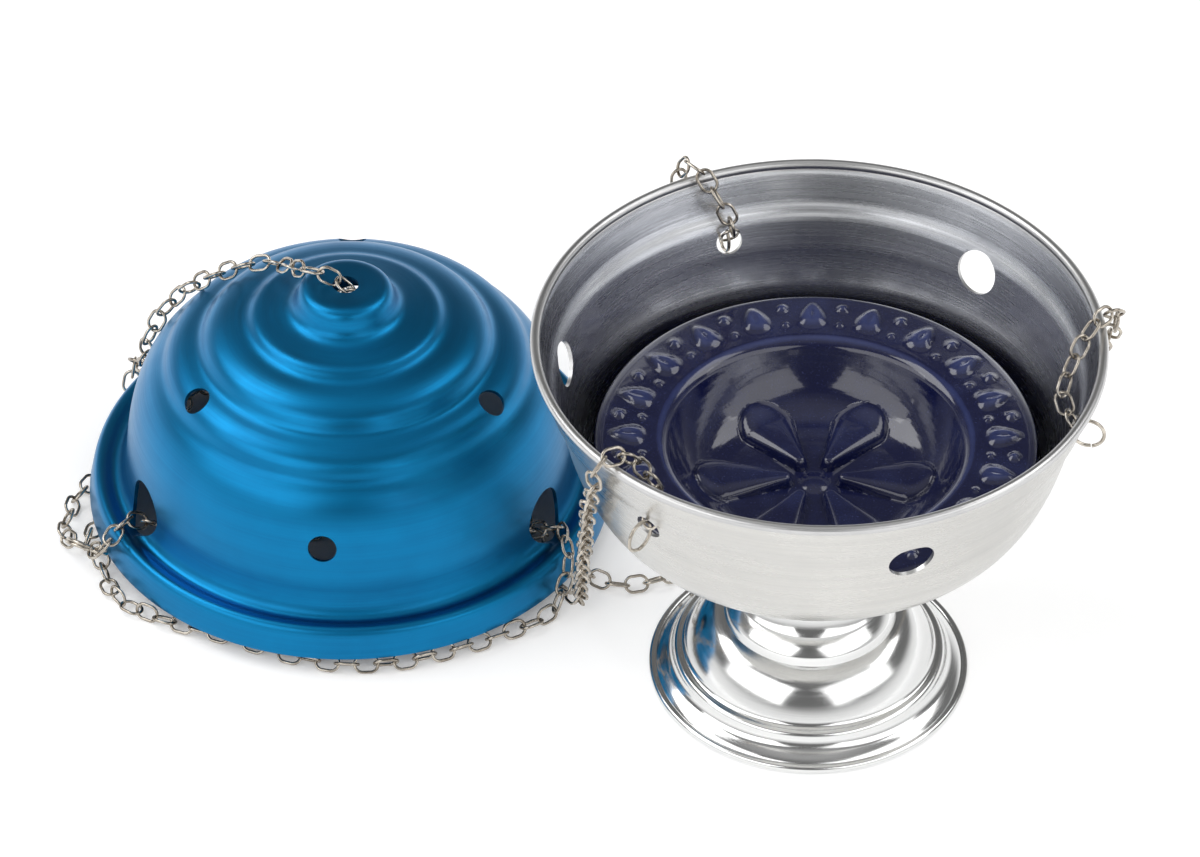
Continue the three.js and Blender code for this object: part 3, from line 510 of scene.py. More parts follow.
def apply_modifiers(obj):
    bpy.context.view_layer.update()
    evaluated = obj.evaluated_get(bpy.context.evaluated_depsgraph_get())
    mesh = bpy.data.meshes.new_from_object(evaluated)
    obj.modifiers.clear()
    old = obj.data
    obj.data = mesh
    bpy.data.meshes.remove(old)


# Foot

def foot_outline():
    step_r, step_h = FOOT_STEP_RADIUS, FOOT_STEP_HEIGHT
    dome = step_r - 4
    collar_r, collar_h = FOOT_COLLAR_RADIUS, FOOT_COLLAR_HEIGHT
    return outline(
        (FOOT_LIP_RADIUS, FOOT_LIP_WIRE + FOOT_WALL / 2),
        [(step_r + 2.6, step_h - 5.2)],
        [(step_r + 0.6, step_h - 4.2), (step_r, step_h - 2)],
        [(step_r - 0.2, step_h), (step_r - 2.2, step_h)],
        [(step_r - 3.4, step_h + 0.1), (dome, step_h + 1.8)],
        [(dome - 4.5, collar_h - 2.4), (collar_r + 0.6, collar_h - 0.6)],
        [(collar_r, collar_h + 2)],
        [(collar_r - 1.2, collar_h + 4), (collar_r - 3.6, collar_h + 6)],
        [(collar_r - 2.8, collar_h + 8)],
        [(FOOT_NECK_RADIUS + 1, collar_h + 11.5), (FOOT_NECK_RADIUS, FOOT_NECK_HEIGHT)],
        [(FOOT_NECK_RADIUS, FOOT_HEIGHT - 5), (FOOT_SEAT_RADIUS - 1, FOOT_HEIGHT - 1.6)],
        [(FOOT_SEAT_RADIUS, FOOT_HEIGHT)],
        [(RIVET_HOLE_RADIUS, FOOT_HEIGHT)],
    )


def make_foot():
    outer = divided(foot_outline(), 2.0)
    inner = inside_of(outer, FOOT_WALL)
    centre = (FOOT_LIP_RADIUS, FOOT_LIP_WIRE)
    # The lip is at the line's start here, so both lines run the other way for the bead.
    down_outer, bead, down_inner = beaded(inner[::-1], outer[::-1], centre, FOOT_LIP_WIRE)
    parts = [(down_outer, 0), (bead, 0), (down_inner[::-1], 0)]
    return smooth(lathe("foot_shell", BOWL_X, BOWL_Y, parts, SHELL_SEGMENTS, [FOOT_METAL]))


# Bowl

def bowl_outline():
    base = BOWL_BASE
    return outline(
        (RIVET_HOLE_RADIUS, base),
        [(24, base)],
        [(50.2, base + 6.4), (63.7, base + 19.2)],
        [(71.5, base + 26.6), (76, base + 47)],
        [(78.6, base + 56.4)],
        [(80.4, base + 59.6)],
        [(RIM_RADIUS + BOWL_WALL / 2, base + RIM_RISE)],
    )


def make_bowl():
    line = bowl_outline()
    outer = divided(line, 2.0)
    inner = inside_of(outer, BOWL_WALL)
    centre = (RIM_RADIUS, BOWL_BASE + RIM_RISE)
    up, bead, down = beaded(outer, inner, centre, RIM_BEAD_WIRE)
    parts = [(up, 0), (bead, 2), (down[::-1], 1)]
    materials = [BOWL_OUTSIDE, BOWL_INSIDE, RIM_METAL]
    bowl = lathe("bowl_shell", BOWL_X, BOWL_Y, parts, SHELL_SEGMENTS, materials)
    holes = []
    height = BOWL_BASE + BOWL_HOLE_RISE
    reach = 8 * BOWL_WALL
    for spread in (0, 120, 240):
        holes.append((wall_frame(line, height, CHAIN_HOLE_TURN + spread), CHAIN_HOLE_RADIUS, reach))
        holes.append((wall_frame(line, height, VENT_TURN + spread), VENT_RADIUS, reach))
    punch_holes(bowl, holes, 2)
    return smooth(bowl)


def make_rivet():
    top = BOWL_BASE + BOWL_WALL + CLEARANCE + WASHER_THICKNESS + CLEARANCE
    bottom = FOOT_HEIGHT - FOOT_WALL - CLEARANCE
    head, rise = RIVET_HEAD_RADIUS, RIVET_HEAD_HEIGHT
    line = outline(
        (0, bottom - rise),
        [(head, bottom - rise), (head, bottom)],
        [(RIVET_RADIUS, bottom)],
        [(RIVET_RADIUS, top)],
        [(head, top)],
        [(head, top + rise), (0, top + rise)],
        steps=6,
    )
    return smooth(lathe("rivet", BOWL_X, BOWL_Y, [(line, 0)], WIRE_SEGMENTS, [FIXING_METAL], closed=False))


def make_washer():
    low = BOWL_BASE + BOWL_WALL + CLEARANCE
    high = low + WASHER_THICKNESS
    soft = 0.2
    line = outline(
        (RIVET_HOLE_RADIUS, low),
        [(WASHER_RADIUS - soft, low)],
        [(WASHER_RADIUS, low), (WASHER_RADIUS, low + soft)],
        [(WASHER_RADIUS, high - soft)],
        [(WASHER_RADIUS, high), (WASHER_RADIUS - soft, high)],
        [(RIVET_HOLE_RADIUS, high)],
        steps=4,
    )
    return smooth(lathe("washer", BOWL_X, BOWL_Y, [(line, 0)], WIRE_SEGMENTS, [FIXING_METAL]))


# Dish

DISH_BASE = rise_at(inside_of(bowl_outline(), BOWL_WALL), DISH_FOOT_RADIUS) + CLEARANCE
DISH_TOP = DISH_BASE + DISH_HEIGHT
PETAL_COUNT = 20
PETAL_RADIUS = 56
PETAL_HEIGHT = 1.7
PETAL_HALF_WIDTH = 3.9
PETAL_HALF_LENGTH = 5.6
PETAL_NARROWING = 0.09
BEAD_RADIUS = 1.9
SMALL_BEAD_RADIUS = 1.2
PAD_COUNT = 6
PAD_HALF_WIDTH = 2.6
PAD_SPREAD = 0.36
PAD_HEIGHT = 3.6
PAD_INNER = 9
PAD_OUTER = 27
BOSS_RADIUS = 4.6
BOSS_HEIGHT = 1.2


def dish_outline():
    base, top = DISH_BASE, DISH_TOP
    floor = top - DISH_WELL_DEPTH
    return outline(
        (0, base + 5),
        [(26, base + 5)],
        [(28, base)],
        [(DISH_FOOT_RADIUS, base)],
        [(DISH_FOOT_RADIUS + 2, base + 4)],
        [(DISH_RADIUS - 12, base + 8), (DISH_RADIUS - 2.5, top - 9)],
        [(DISH_RADIUS, top - DISH_EDGE_ROUND)],
        [(DISH_RADIUS, top), (DISH_RADIUS - DISH_EDGE_ROUND, top)],
        [(DISH_WELL_RADIUS + 3, top - 0.8)],
        [(DISH_WELL_RADIUS, top - 0.8), (DISH_WELL_RADIUS - 1.6, top - 3)],
        [(DISH_WELL_FLOOR_RADIUS + 10, floor + 1), (DISH_WELL_FLOOR_RADIUS, floor)],
        [(0.0, floor)],
    )


def dome(distance):
    """A soft mound's height share at a distance from its middle, where 1 is its edge."""
    share = np.clip(1 - distance * distance, 0, 1)
    return share ** 0.75


def rim_relief(radius, angle):
    """Petals round the rim with a bead between each two."""
    spacing = 2 * math.pi / PETAL_COUNT
    phase = (angle + spacing / 2) % spacing - spacing / 2
    along = phase * radius
    across = radius - PETAL_RADIUS
    width = PETAL_HALF_WIDTH * np.clip(1 - PETAL_NARROWING * across, 0.4, 1.6)
    petal = dome(np.hypot(along / width, across / PETAL_HALF_LENGTH))
    groove = 0.5 * np.exp(-(along / 0.7) ** 2) * np.exp(-(across / 2.6) ** 2)
    between = (angle % spacing - spacing / 2) * radius
    bead = dome(np.hypot(between / BEAD_RADIUS, (across - 3.2) / BEAD_RADIUS))
    small = dome(np.hypot(between / SMALL_BEAD_RADIUS, (across + 3.8) / SMALL_BEAD_RADIUS))
    return PETAL_HEIGHT * np.maximum(petal - groove * petal, np.maximum(0.75 * bead, 0.5 * small))


def well_relief(radius, angle):
    """Wedge pads that hold a coal off the floor, wide at the wall and narrow inside, and a low boss."""
    spacing = 2 * math.pi / PAD_COUNT
    phase = (angle + spacing / 2) % spacing - spacing / 2
    outward = radius * np.cos(phase)
    along = np.clip(outward, PAD_INNER, PAD_OUTER)
    width = PAD_HALF_WIDTH + PAD_SPREAD * (along - PAD_INNER)
    distance = np.hypot(outward - along, radius * np.sin(phase)) / width
    pad = PAD_HEIGHT * np.clip(1 - distance ** 4, 0, 1) ** 0.8
    boss = BOSS_HEIGHT * dome(radius / BOSS_RADIUS)
    return np.maximum(pad, boss)


def make_dish():
    line = divided(dish_outline(), 0.7)
    top_start = next(i for i, p in enumerate(line) if p[1] >= DISH_TOP - 1e-6)
    dish = lathe("dish", BOWL_X, BOWL_Y, [(line, 0)], DISH_SEGMENTS, [GLAZE], closed=False)
    mesh = dish.data
    place = np.empty(len(mesh.vertices) * 3)
    mesh.vertices.foreach_get("co", place)
    place = place.reshape(-1, 3)
    row_of = np.concatenate([np.full(1 if p[0] < 1e-6 else DISH_SEGMENTS, i) for i, p in enumerate(line)])
    radius = np.hypot(place[:, 0], place[:, 1]) / MM
    angle = np.arctan2(place[:, 1], place[:, 0])
    raised = rim_relief(radius, angle) * (radius > DISH_WELL_RADIUS)
    sunk = well_relief(radius, angle) * (radius <= DISH_WELL_RADIUS)
    on_top = row_of >= top_start
    place[:, 2] += np.where(on_top, raised + sunk, 0.0) * MM
    # The glaze runs thin on raised forms and on the two edges of the rim.
    relief = np.clip(raised / PETAL_HEIGHT + 0.3 * sunk / PAD_HEIGHT, 0, 1)
    edge = np.exp(-((radius - DISH_WELL_RADIUS - 1) / 1.2) ** 2) + np.exp(-(radius - DISH_RADIUS) ** 2)
    relief = np.clip(relief + 0.7 * edge, 0, 1) * on_top
    mesh.vertices.foreach_set("co", place.ravel())
    attribute = mesh.attributes.new("relief", "FLOAT", "POINT")
    attribute.data.foreach_set("value", relief.astype(np.float32))
    return smooth(dish, 50)


# Lid

def lid_outline():
    ridge = SKIRT_RADIUS - 3.8
    groove, rise = LID_GROOVE_RADIUS, LID_GROOVE_RISE
    wall_r, wall_h = LID_WALL_RADIUS, LID_WALL_RISE
    shoulder_r, shoulder_h = LID_SHOULDER_RADIUS, LID_SHOULDER_RISE
    moves = [
        [(SKIRT_RADIUS, 1.2)],
        [(SKIRT_RADIUS - 1.3, LID_RIDGE_RISE - 2.5)],
        [(ridge + 2.1, LID_RIDGE_RISE), (ridge, LID_RIDGE_RISE)],
        [(ridge - 2, LID_RIDGE_RISE), (groove + 1.3, rise + 1)],
        [(groove, rise + 0.5), (groove - 1.5, rise + 1.7)],
        [(wall_r + 0.9, rise + 3.4), (wall_r, wall_h)],
        [(wall_r - 0.6, wall_h + 14), (shoulder_r + 7, shoulder_h - 6), (shoulder_r, shoulder_h)],
    ]
    foot_r, foot_h = shoulder_r, shoulder_h
    for next_r, next_h in LID_STEPS:
        riser = foot_r - 2.2
        crown = riser - 0.14 * (riser - next_r)
        moves.append([(foot_r - 1.6, foot_h + 0.7), (riser, foot_h + 2.6)])
        moves.append([(crown, next_h - 1.6), (next_r, next_h)])
        foot_r, foot_h = next_r, next_h
    moves += [
        [(KNOB_RADIUS + 1.2, foot_h + 0.3), (KNOB_RADIUS + 0.3, foot_h + 3.4)],
        [(KNOB_RADIUS - 0.6, KNOB_RISE - 2.6)],
        [(KNOB_RADIUS - 1.2, KNOB_RISE), (KNOB_RADIUS - 4.5, KNOB_RISE)],
        [(KNOB_HOLE_RADIUS, KNOB_RISE)],
    ]
    return outline((SKIRT_RADIUS, 0), *moves)


def make_lid():
    line = lid_outline()
    outer = softened(line, LID_SOFTNESS)
    inner = inside_of(outer, LID_WALL, 3)
    raised = np.array((0, LID_BASE))
    parts = [(outer + raised, 0), (inner[::-1] + raised, 0)]
    lid = lathe("lid_shell", LID_X, LID_Y, parts, SHELL_SEGMENTS, [LID_BLUE])
    holes = []
    lift = Matrix.Translation((0, 0, LID_BASE))
    reach = 8 * LID_WALL
    for turn in LID_CHAIN_HOLE_TURNS:
        holes.append((lift @ wall_frame(line, LID_CHAIN_HOLE_RISE, turn), LID_CHAIN_HOLE_RADIUS, reach))
    high = rise_at(line, LID_HIGH_VENT_RADIUS)
    for spread in (0, 120, 240):
        for rise, turn in ((LID_LOW_VENT_RISE, LID_LOW_VENT_TURN), (high, LID_HIGH_VENT_TURN)):
            holes.append((lift @ wall_frame(line, rise, turn + spread), LID_VENT_RADIUS, reach))
    punch_holes(lid, holes, 0)
    return smooth(lid)


# Wire pieces

RING_GAP = 0.008
RING_SPRING = 0.35


def swept(name, centres, wire, material, closed):
    """A round wire along points, all in millimetres, with its ends closed."""
    centres = [Vector(c) for c in centres]
    count = len(centres)
    vertices = []
    normal = None
    for i, centre in enumerate(centres):
        before = centres[(i - 1) % count] if closed else centres[max(i - 1, 0)]
        after = centres[(i + 1) % count] if closed else centres[min(i + 1, count - 1)]
        along = (after - before).normalized()
        if normal is None:
            normal = along.orthogonal()
        normal = (normal - along * normal.dot(along)).normalized()
        across = along.cross(normal)
        for k in range(WIRE_SIDES):
            angle = 2 * math.pi * k / WIRE_SIDES
            point = centre + wire * (math.cos(angle) * normal + math.sin(angle) * across)
            vertices.append(tuple(point * MM))
    faces = tube_faces(0, count, WIRE_SIDES, closed)
    return smooth(add_object(name, vertices, faces, [material]), 45)


def jump_ring(name, matrix, gap_turn):
    """One turn of round wire, sprung a little out of its plane where its ends meet."""
    radius, wire = JUMP_RING_RADIUS, JUMP_RING_WIRE
    points = []
    steps = 2 * WIRE_SEGMENTS
    for i in range(steps + 1):
        share = i / steps
        angle = math.radians(gap_turn) + 2 * math.pi * (RING_GAP + (1 - 2 * RING_GAP) * share)
        shift = (share - 0.5) * wire * RING_SPRING
        points.append(matrix @ Vector((radius * math.cos(angle), shift, radius * math.sin(angle))))
    return swept(name, points, wire, RING_METAL, False)


def link_line(wire=LINK_WIRE, steps=WIRE_SEGMENTS):
    """One link's wire as a line about its middle: length along x, width along y."""
    bend = LINK_WIDTH / 2 - wire
    pull = LINK_LENGTH / 2 - LINK_WIDTH / 2
    points = []
    for i in range(steps):
        angle = 2 * math.pi * (i + 0.5) / steps
        x, y = bend * math.cos(angle), bend * math.sin(angle)
        points.append(Vector((x + math.copysign(pull, x), y, 0)))
    return points


def wire_link(name, matrix):
    return swept(name, [matrix @ p for p in link_line()], LINK_WIRE, RING_METAL, True)


# Chain routes, as in the part's source: radius, turn and height about an axis, or plain x, y and height

FLOOR = 2.8


def around(x, y, places):
    """Points given by radius, turn and height about an axis. Without a height they lie on the table."""
    points = []
    for radius, turn, *height in places:
        side = heading(turn) * radius
        points.append((x + side.x, y + side.y, *(height or [FLOOR])))
    return points


def lid_row(*places):
    return around(LID_X - BOWL_X, LID_Y - BOWL_Y, places)


def floor_row(*places):
    return [(x, y, FLOOR) for x, y in places]


def drifting(steps, turn, drift):
    return [(radius, turn + share * drift, height) for radius, share, height in steps]


def rim_crossing(turn, drift):
    steps = [
        (73.2, 0, 115.5), (71.9, 0.1, 119.4), (73.8, 0.3, 124.5), (77.6, 0.55, 130.4),
        (81.4, 0.7, 134.2), (86.3, 0.85, 134.2), (89.3, 0.95, 130), (88.5, 1, 124),
    ]
    return around(0, 0, drifting(steps, turn, drift))


def skirt_crossing(turn, drift):
    steps = [
        (69.8, 0, 16.3), (74.4, 0, 18.7), (79.2, 0.25, 19.3), (83, 0.5, 16.8),
        (84.9, 0.7, 12.3), (85.2, 0.88, 7.4), (85.4, 1, 3.4),
    ]
    return lid_row(*drifting(steps, turn, drift))


CHAINS = {
    "front": {
        "front_chain_bowl_run": [
            *rim_crossing(-40.5, -7.5),
            (-67.4, -49.5, 109), (-68, -35, 87), (-68.6, -20, 65), (-69.2, -5, 43), (-69.7, 8.5, 24),
            (-70.1, 18.5, 10.5), (-71, 25, 4.2),
            *floor_row((-74.6, 31), (-81.8, 35.6), (-91, 38.6), (-101, 40.4)),
        ],
        "front_chain_inner_run": [
            *floor_row((-101.4, 40.5), (-111.4, 42.3), (-120.5, 45), (-126, 51), (-122, 57)),
            *floor_row((-112.5, 57.2), (-102.5, 54.2)),
            *lid_row((54, 63, 4.2), (60, 62.5, 8.8), (65, 62, 13.2), (69.4, 62, 16)),
        ],
        "front_chain_outer_run": [
            *skirt_crossing(62, -12),
            *lid_row((84.6, 45), (82.6, 38), (81.2, 30), (80.8, 20), (80.8, 10), (80.2, 0), (78.2, -10)),
            *lid_row((76.8, -20), (77.2, -30), (80.2, -39), (84.4, -47), (86.6, -54), (85.6, -60)),
            (-218.2, 41.6, 2.9),
        ],
    },
    "right": {
        "right_chain_bowl_run": [
            *rim_crossing(79.5, 19),
            (84.6, 22, 109), (79, 35, 84), (73, 48, 57), (67.2, 60, 31), (63, 68.5, 14), (58.5, 74, 5.2),
            *floor_row((51, 77.5), (38, 78.5), (24, 76.5), (9, 71.5), (-5, 65), (-18, 57), (-29.5, 48)),
            *floor_row((-39, 40), (-48, 35), (-57, 33), (-64.6, 35.6), (-70.4, 41.6), (-75.6, 49.4)),
            *floor_row((-82, 57.4), (-90.5, 63.8)),
        ],
        "right_chain_inner_run": [
            *floor_row((-90.8, 64.1), (-99.4, 70.4), (-111, 72.6), (-124, 68.4), (-136, 62.4)),
            *floor_row((-150, 58), (-166, 55)),
            *lid_row((48, -62), (54, -63, 4.2), (60, -63.5, 8.8), (65, -64, 13.2), (69.4, -64, 16)),
        ],
        "right_chain_outer_run": [
            *skirt_crossing(-64, 7)[:3],
            *lid_row((83.6, -60, 17.8), (87, -60.5, 14.4)),
            (-218.9, 39.8, 9.6),
        ],
    },
    "back": {
        "back_chain_bowl_run": [
            *rim_crossing(-160.5, 8),
            (-43.8, 80.5, 112), (-46, 83, 88), (-48, 85.5, 62), (-50, 88, 36), (-52, 90.5, 15),
            (-54.5, 93, 5.4),
            *floor_row((-60, 96.5), (-70, 100), (-84, 101), (-97, 98)),
        ],
        "back_chain_inner_run": [
            *floor_row((-97.4, 97.9), (-110.4, 94.9), (-122, 88.4), (-134, 84), (-147, 84)),
            *floor_row((-155.5, 91), (-153.5, 101), (-145.5, 107.5), (-141.8, 116), (-141.6, 124.5)),
            *lid_row((54, 179, 4.2), (60, 179.5, 8.8), (65, 180, 13.2), (69.4, 180, 16)),
        ],
        "back_chain_outer_run": [
            *skirt_crossing(180, 9),
            *lid_row((83, 194), (77.5, 200), (73, 208), (70, 218), (69, 229), (69, 241), (69.5, 253)),
            *lid_row((71, 264), (74.5, 273), (79.5, 280)),
            *floor_row((-222.2, 57.4), (-222.6, 52.4)),
        ],
    },
    "lid": {
        "lid_chain": [
            *lid_row((4.2, -99, 89.3), (8.5, -101, 90), (13.6, -106, 89.4), (18.2, -116, 86)),
            *lid_row((22.8, -126, 82.4), (30, -130, 79), (37, -127, 76.2), (44, -123, 72.2)),
            *lid_row((51, -122, 66.8), (58, -121, 60.6), (64.4, -119, 53), (68.9, -116, 44)),
            *lid_row((71.4, -115, 35), (73.2, -117, 27), (76.5, -120, 21), (80.3, -122, 18.8)),
            *lid_row((83.6, -123.5, 16), (85, -124, 11), (85, -123, 6)),
            *lid_row((83.4, -120), (79, -114), (77.6, -105), (79.6, -96)),
            *floor_row((-226.2, 76), (-229.2, 69.5), (-230, 63.5), (-231, 57.4)),
            (-230.6, 51.2, 3.8),
        ],
    },
}


ROUTE_STEPS = 24


def route_of(points):
    """A centripetal Catmull-Rom line through the points, in the row frame, at even steps."""
    p = np.array(points, float) + np.array((BOWL_X, BOWL_Y, 0))
    p = np.vstack([2 * p[0] - p[1], p, 2 * p[-1] - p[-2]])
    out = [p[1]]
    for x0, x1, x2, x3 in zip(p, p[1:], p[2:], p[3:]):
        d0, d1, d2 = (math.sqrt(np.linalg.norm(b - a)) for a, b in ((x0, x1), (x1, x2), (x2, x3)))
        t1 = d1 * ((x1 - x0) / d0 - (x2 - x0) / (d0 + d1) + (x2 - x1) / d1)
        t2 = d1 * ((x2 - x1) / d1 - (x3 - x1) / (d1 + d2) + (x3 - x2) / d2)
        square = 3 * (x2 - x1) - 2 * t1 - t2
        cube = 2 * (x1 - x2) + t1 + t2
        for i in range(1, ROUTE_STEPS + 1):
            t = i / ROUTE_STEPS
            out.append(x1 + t1 * t + square * t * t + cube * t ** 3)
    return np.array(out)


STEEP = 0.45
LEAN_SHARE = 0.45
LAST_LINKS = 7


def link_frames(joints, first_wide, last_wide):
    """Place and axes of each link between two joints: its middle, long direction and wide direction."""
    frames = []
    up = Vector((0, 0, 1))
    normal = first_wide
    for a, b in zip(joints, joints[1:]):
        along = (b - a).normalized()
        level = up - along * up.dot(along)
        normal = (normal - along * normal.dot(along)).normalized()
        # Where the run isn't steep its links lie as on a table, each leaning to one side or the other.
        if level.length > STEEP:
            level.normalize()
            side = along.cross(level)
            angle = math.atan2(normal.dot(side), normal.dot(level))
            nearest = (math.floor(angle / (math.pi / 2)) + 0.5) * math.pi / 2
            angle += LEAN_SHARE * (nearest - angle)
            normal = math.cos(angle) * level + math.sin(angle) * side
        frames.append([(a + b) / 2, along, normal])
    for entry in frames[1::2]:
        entry[2] = entry[1].cross(entry[2])
    # The last links turn little by little, until the last one stands as its ring asks.
    _, along, wide = frames[-1]
    target = (last_wide - along * last_wide.dot(along)).normalized()
    angle = math.atan2(along.dot(wide.cross(target)), wide.dot(target))
    angle = (angle + math.pi / 2) % math.pi - math.pi / 2
    count = min(LAST_LINKS, len(frames))
    for i, entry in enumerate(frames[-count:]):
        entry[2] = Matrix.Rotation(angle * (i + 1) / count, 3, entry[1]) @ entry[2]
    return frames


LINK_SIDES = 8
LINK_STATIONS = 28
LINK_SLACK = 0.15
LINK_JITTER = 13
TABLE_GAP = 0.05
TABLE_REACH = 0.3
DROP_SHARE = 0.6
MOST_DROP = 0.85


def chain_piece(name, frames, turns):
    """A row of links as one piece, each let down to the table where it lies there."""
    line = link_line(CHAIN_WIRE, LINK_STATIONS)
    vertices, faces = [], []
    for (place, along, wide), turn in zip(frames, turns):
        wide = Matrix.Rotation(turn, 3, along) @ wide
        out = along.cross(wide)
        # This line runs the other way round than a swept wire's, so each face is turned over.
        for a, *others in tube_faces(len(vertices), LINK_STATIONS, LINK_SIDES, True):
            faces.append((a, *others[::-1]))
        points = []
        for i, p in enumerate(line):
            tangent = (line[(i + 1) % LINK_STATIONS] - line[i - 1]).normalized()
            outward = Vector((tangent.y, -tangent.x, 0))
            for k in range(LINK_SIDES):
                angle = 2 * math.pi * (k + 0.5) / LINK_SIDES
                q = p + CHAIN_WIRE * math.cos(angle) * outward
                height = CHAIN_WIRE * math.sin(angle)
                points.append(place + q.x * along + q.y * wide + height * out)
        low = min(v.z for v in points)
        drop = 0.0
        if low < TABLE_GAP:
            drop = TABLE_GAP - low
        elif place.z < FLOOR + TABLE_REACH:
            drop = -min(MOST_DROP, DROP_SHARE * (low - TABLE_GAP))
        vertices += [(v.x * MM, v.y * MM, (v.z + drop) * MM) for v in points]
    return smooth(add_object(name + "_links", vertices, faces, [CHAIN_METAL]), 180)


# Where each chain starts and ends: the middle of the link that holds it, and the ring's wire

BOWL_CHAINS = {"front": 0, "right": 120, "back": 240}
LINK_HALF = LINK_LENGTH / 2 - LINK_WIRE
RING_OUTER = JUMP_RING_RADIUS + JUMP_RING_WIRE
RING_CHORD = CHAIN_HOLE_RADIUS - CLEARANCE - 0.1
RING_DISTANCE = math.sqrt(RING_OUTER ** 2 - RING_CHORD ** 2)


def chain_hole_frame(key):
    turn = CHAIN_HOLE_TURN + BOWL_CHAINS[key]
    place = wall_frame(bowl_outline(), BOWL_BASE + BOWL_HOLE_RISE, turn)
    return Matrix.Translation((BOWL_X, BOWL_Y, 0)) @ place


def bowl_link_matrix(key):
    held = Matrix.Translation((RING_DISTANCE - JUMP_RING_RADIUS + HOOK, 0, 0))
    tilt = Matrix.Rotation(math.radians(BOWL_LINK_TILT), 4, "Y")
    return chain_hole_frame(key) @ held @ tilt @ Matrix.Translation((-LINK_HALF, 0, 0))


def lid_link_frame():
    matrix = Matrix.Rotation(math.radians(LID_LINK_HEADING - 90), 4, "Z")
    matrix.translation = (LID_X, LID_Y, LID_BASE + KNOB_RISE - LID_WALL / 2 - CLEARANCE / 2)
    return matrix


def lid_link_matrix():
    return lid_link_frame() @ Matrix.Rotation(-math.radians(LID_LINK_TILT), 4, "Y")


GATHER_LEAN = math.sqrt(1 - GATHER_RING_AXIS.z ** 2)
GATHER_CENTRE = Vector((
    GATHER_RING_X,
    GATHER_RING_Y,
    GATHER_RING_RADIUS * GATHER_LEAN + GATHER_RING_WIRE + CLEARANCE,
))


def ring_hold(end):
    """The point of the gathering ring's wire nearest to a chain's end, and the wire's direction there."""
    offset = end - GATHER_CENTRE
    flat = offset - GATHER_RING_AXIS * offset.dot(GATHER_RING_AXIS)
    flat.normalize()
    return GATHER_CENTRE + flat * GATHER_RING_RADIUS, GATHER_RING_AXIS.cross(flat)


# The runs that cross between bodies: the two bodies, and where the bend starts and ends
BENDS = {
    "front_chain_inner_run": ("bowl", "lid", (-99, 50), (-82, 50)),
    "front_chain_outer_run": ("lid", "bowl", (-80, 40), (-95, 12)),
    "right_chain_inner_run": ("bowl", "lid", (-176, 50), (-204, 50)),
    "right_chain_outer_run": ("lid", "bowl", (-208, 43), (-219, 40)),
    "back_chain_inner_run": ("bowl", "lid", (-142, 122), (-142, 145)),
    "back_chain_outer_run": ("lid", "bowl", (-142, 152), (-160, 158)),
    "lid_chain": ("lid", "bowl", (-213, 95), (-230, 58)),
}


# The route's last stretch, from just before the middle of the ring's wire to beyond it
RING_APPROACH = 0.2
RING_OVERRUN = 4


def link_spacing(at, routes, begin, last):
    """Distances of all joints along the chain, and each run's links: a whole number on every run."""
    distances = [begin]
    groups = {}
    index = 0
    for name, route in routes.items():
        index += len(route)
        end = last if name == list(routes)[-1] else at[index]
        count = max(1, round((end - begin) / (LINK_PITCH - LINK_SLACK)))
        first = len(distances) - 1
        groups[name] = slice(first, first + count)
        distances += [begin + (end - begin) * (k + 1) / count for k in range(count)]
        begin = end
    return distances, groups


def make_chain(key, runs):
    """All links of one chain, shared out to its runs, each run with its route."""
    rng = random.Random("chain " + key)
    routes = {name: route_of(points) for name, points in runs.items()}
    holder = bowl_link_matrix(key) if key in BOWL_CHAINS else lid_link_matrix()
    whole = np.vstack([holder.translation, *routes.values()])
    hold, wire = ring_hold(Vector(whole[-1]))
    toward = (hold - Vector(whole[-1])).normalized()
    whole = np.vstack([whole, hold - toward * RING_APPROACH, hold + toward * RING_OVERRUN])
    at = reach_along(whole)
    # The first link hooks the holding link, and the last one lies round the ring's wire.
    distances, groups = link_spacing(at, routes, LINK_PITCH / 2, at[-2] + GATHER_RING_WIRE)
    joints = [Vector(p) for p in points_at(distances, at, whole)]
    names = list(runs)
    routes[names[0]] = np.vstack([joints[0], routes[names[0]]])
    routes[names[-1]] = np.vstack([routes[names[-1]], joints[-1]])
    holder_wide = (holder.to_3x3() @ Vector((0, 1, 0))).normalized()
    first_wide = (joints[1] - joints[0]).normalized().cross(holder_wide)
    last_wide = wire.cross((joints[-1] - joints[-2]).normalized())
    frames = link_frames(joints, first_wide, last_wide)
    jitter = [math.radians(rng.uniform(-LINK_JITTER, LINK_JITTER)) for _ in frames]
    jitter[0] = jitter[-1] = 0.0
    for name, links in groups.items():
        yield name, chain_piece(name, frames[links], jitter[links]), routes[name]


def declare_chain(name, piece, route, gather):
    if name in BENDS:
        a, b, *ends = BENDS[name]
        begin, finish = [((x + BOWL_X) * MM, (y + BOWL_Y) * MM, 0) for x, y in ends]
        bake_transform(piece)
        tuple(begin)
        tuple(finish)
    else:
        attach(piece, "bowl")
    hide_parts(name)
    path = [tuple(p * MM) for p in route[::2]]
    if len(route) % 2 == 0:
        path.append(tuple(route[-1] * MM))
    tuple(path[0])
    max(0.03, float(reach_along(route)[-1]) * MM)


# Gathering ring: two turns of wire pressed together, as split rings are

def make_gathering_ring():
    turn = Vector((0, 0, 1)).rotation_difference(GATHER_RING_AXIS).to_matrix().to_4x4()
    turn.translation = GATHER_CENTRE
    wire = GATHER_RING_WIRE * 0.5
    radius = GATHER_RING_RADIUS
    points = []
    steps = 4 * WIRE_SEGMENTS
    for i in range(steps + 1):
        share = i / steps
        angle = 2 * math.pi * (2 * share * 0.985)
        rise = wire * math.tanh(6 * (2 * share - 1))
        points.append(turn @ Vector((radius * math.cos(angle), radius * math.sin(angle), rise)))
    return swept("gathering_ring_turns", points, wire, RING_METAL, False)


# All pieces

def dress(piece, node, body):
    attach(piece, body)
    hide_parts(node)


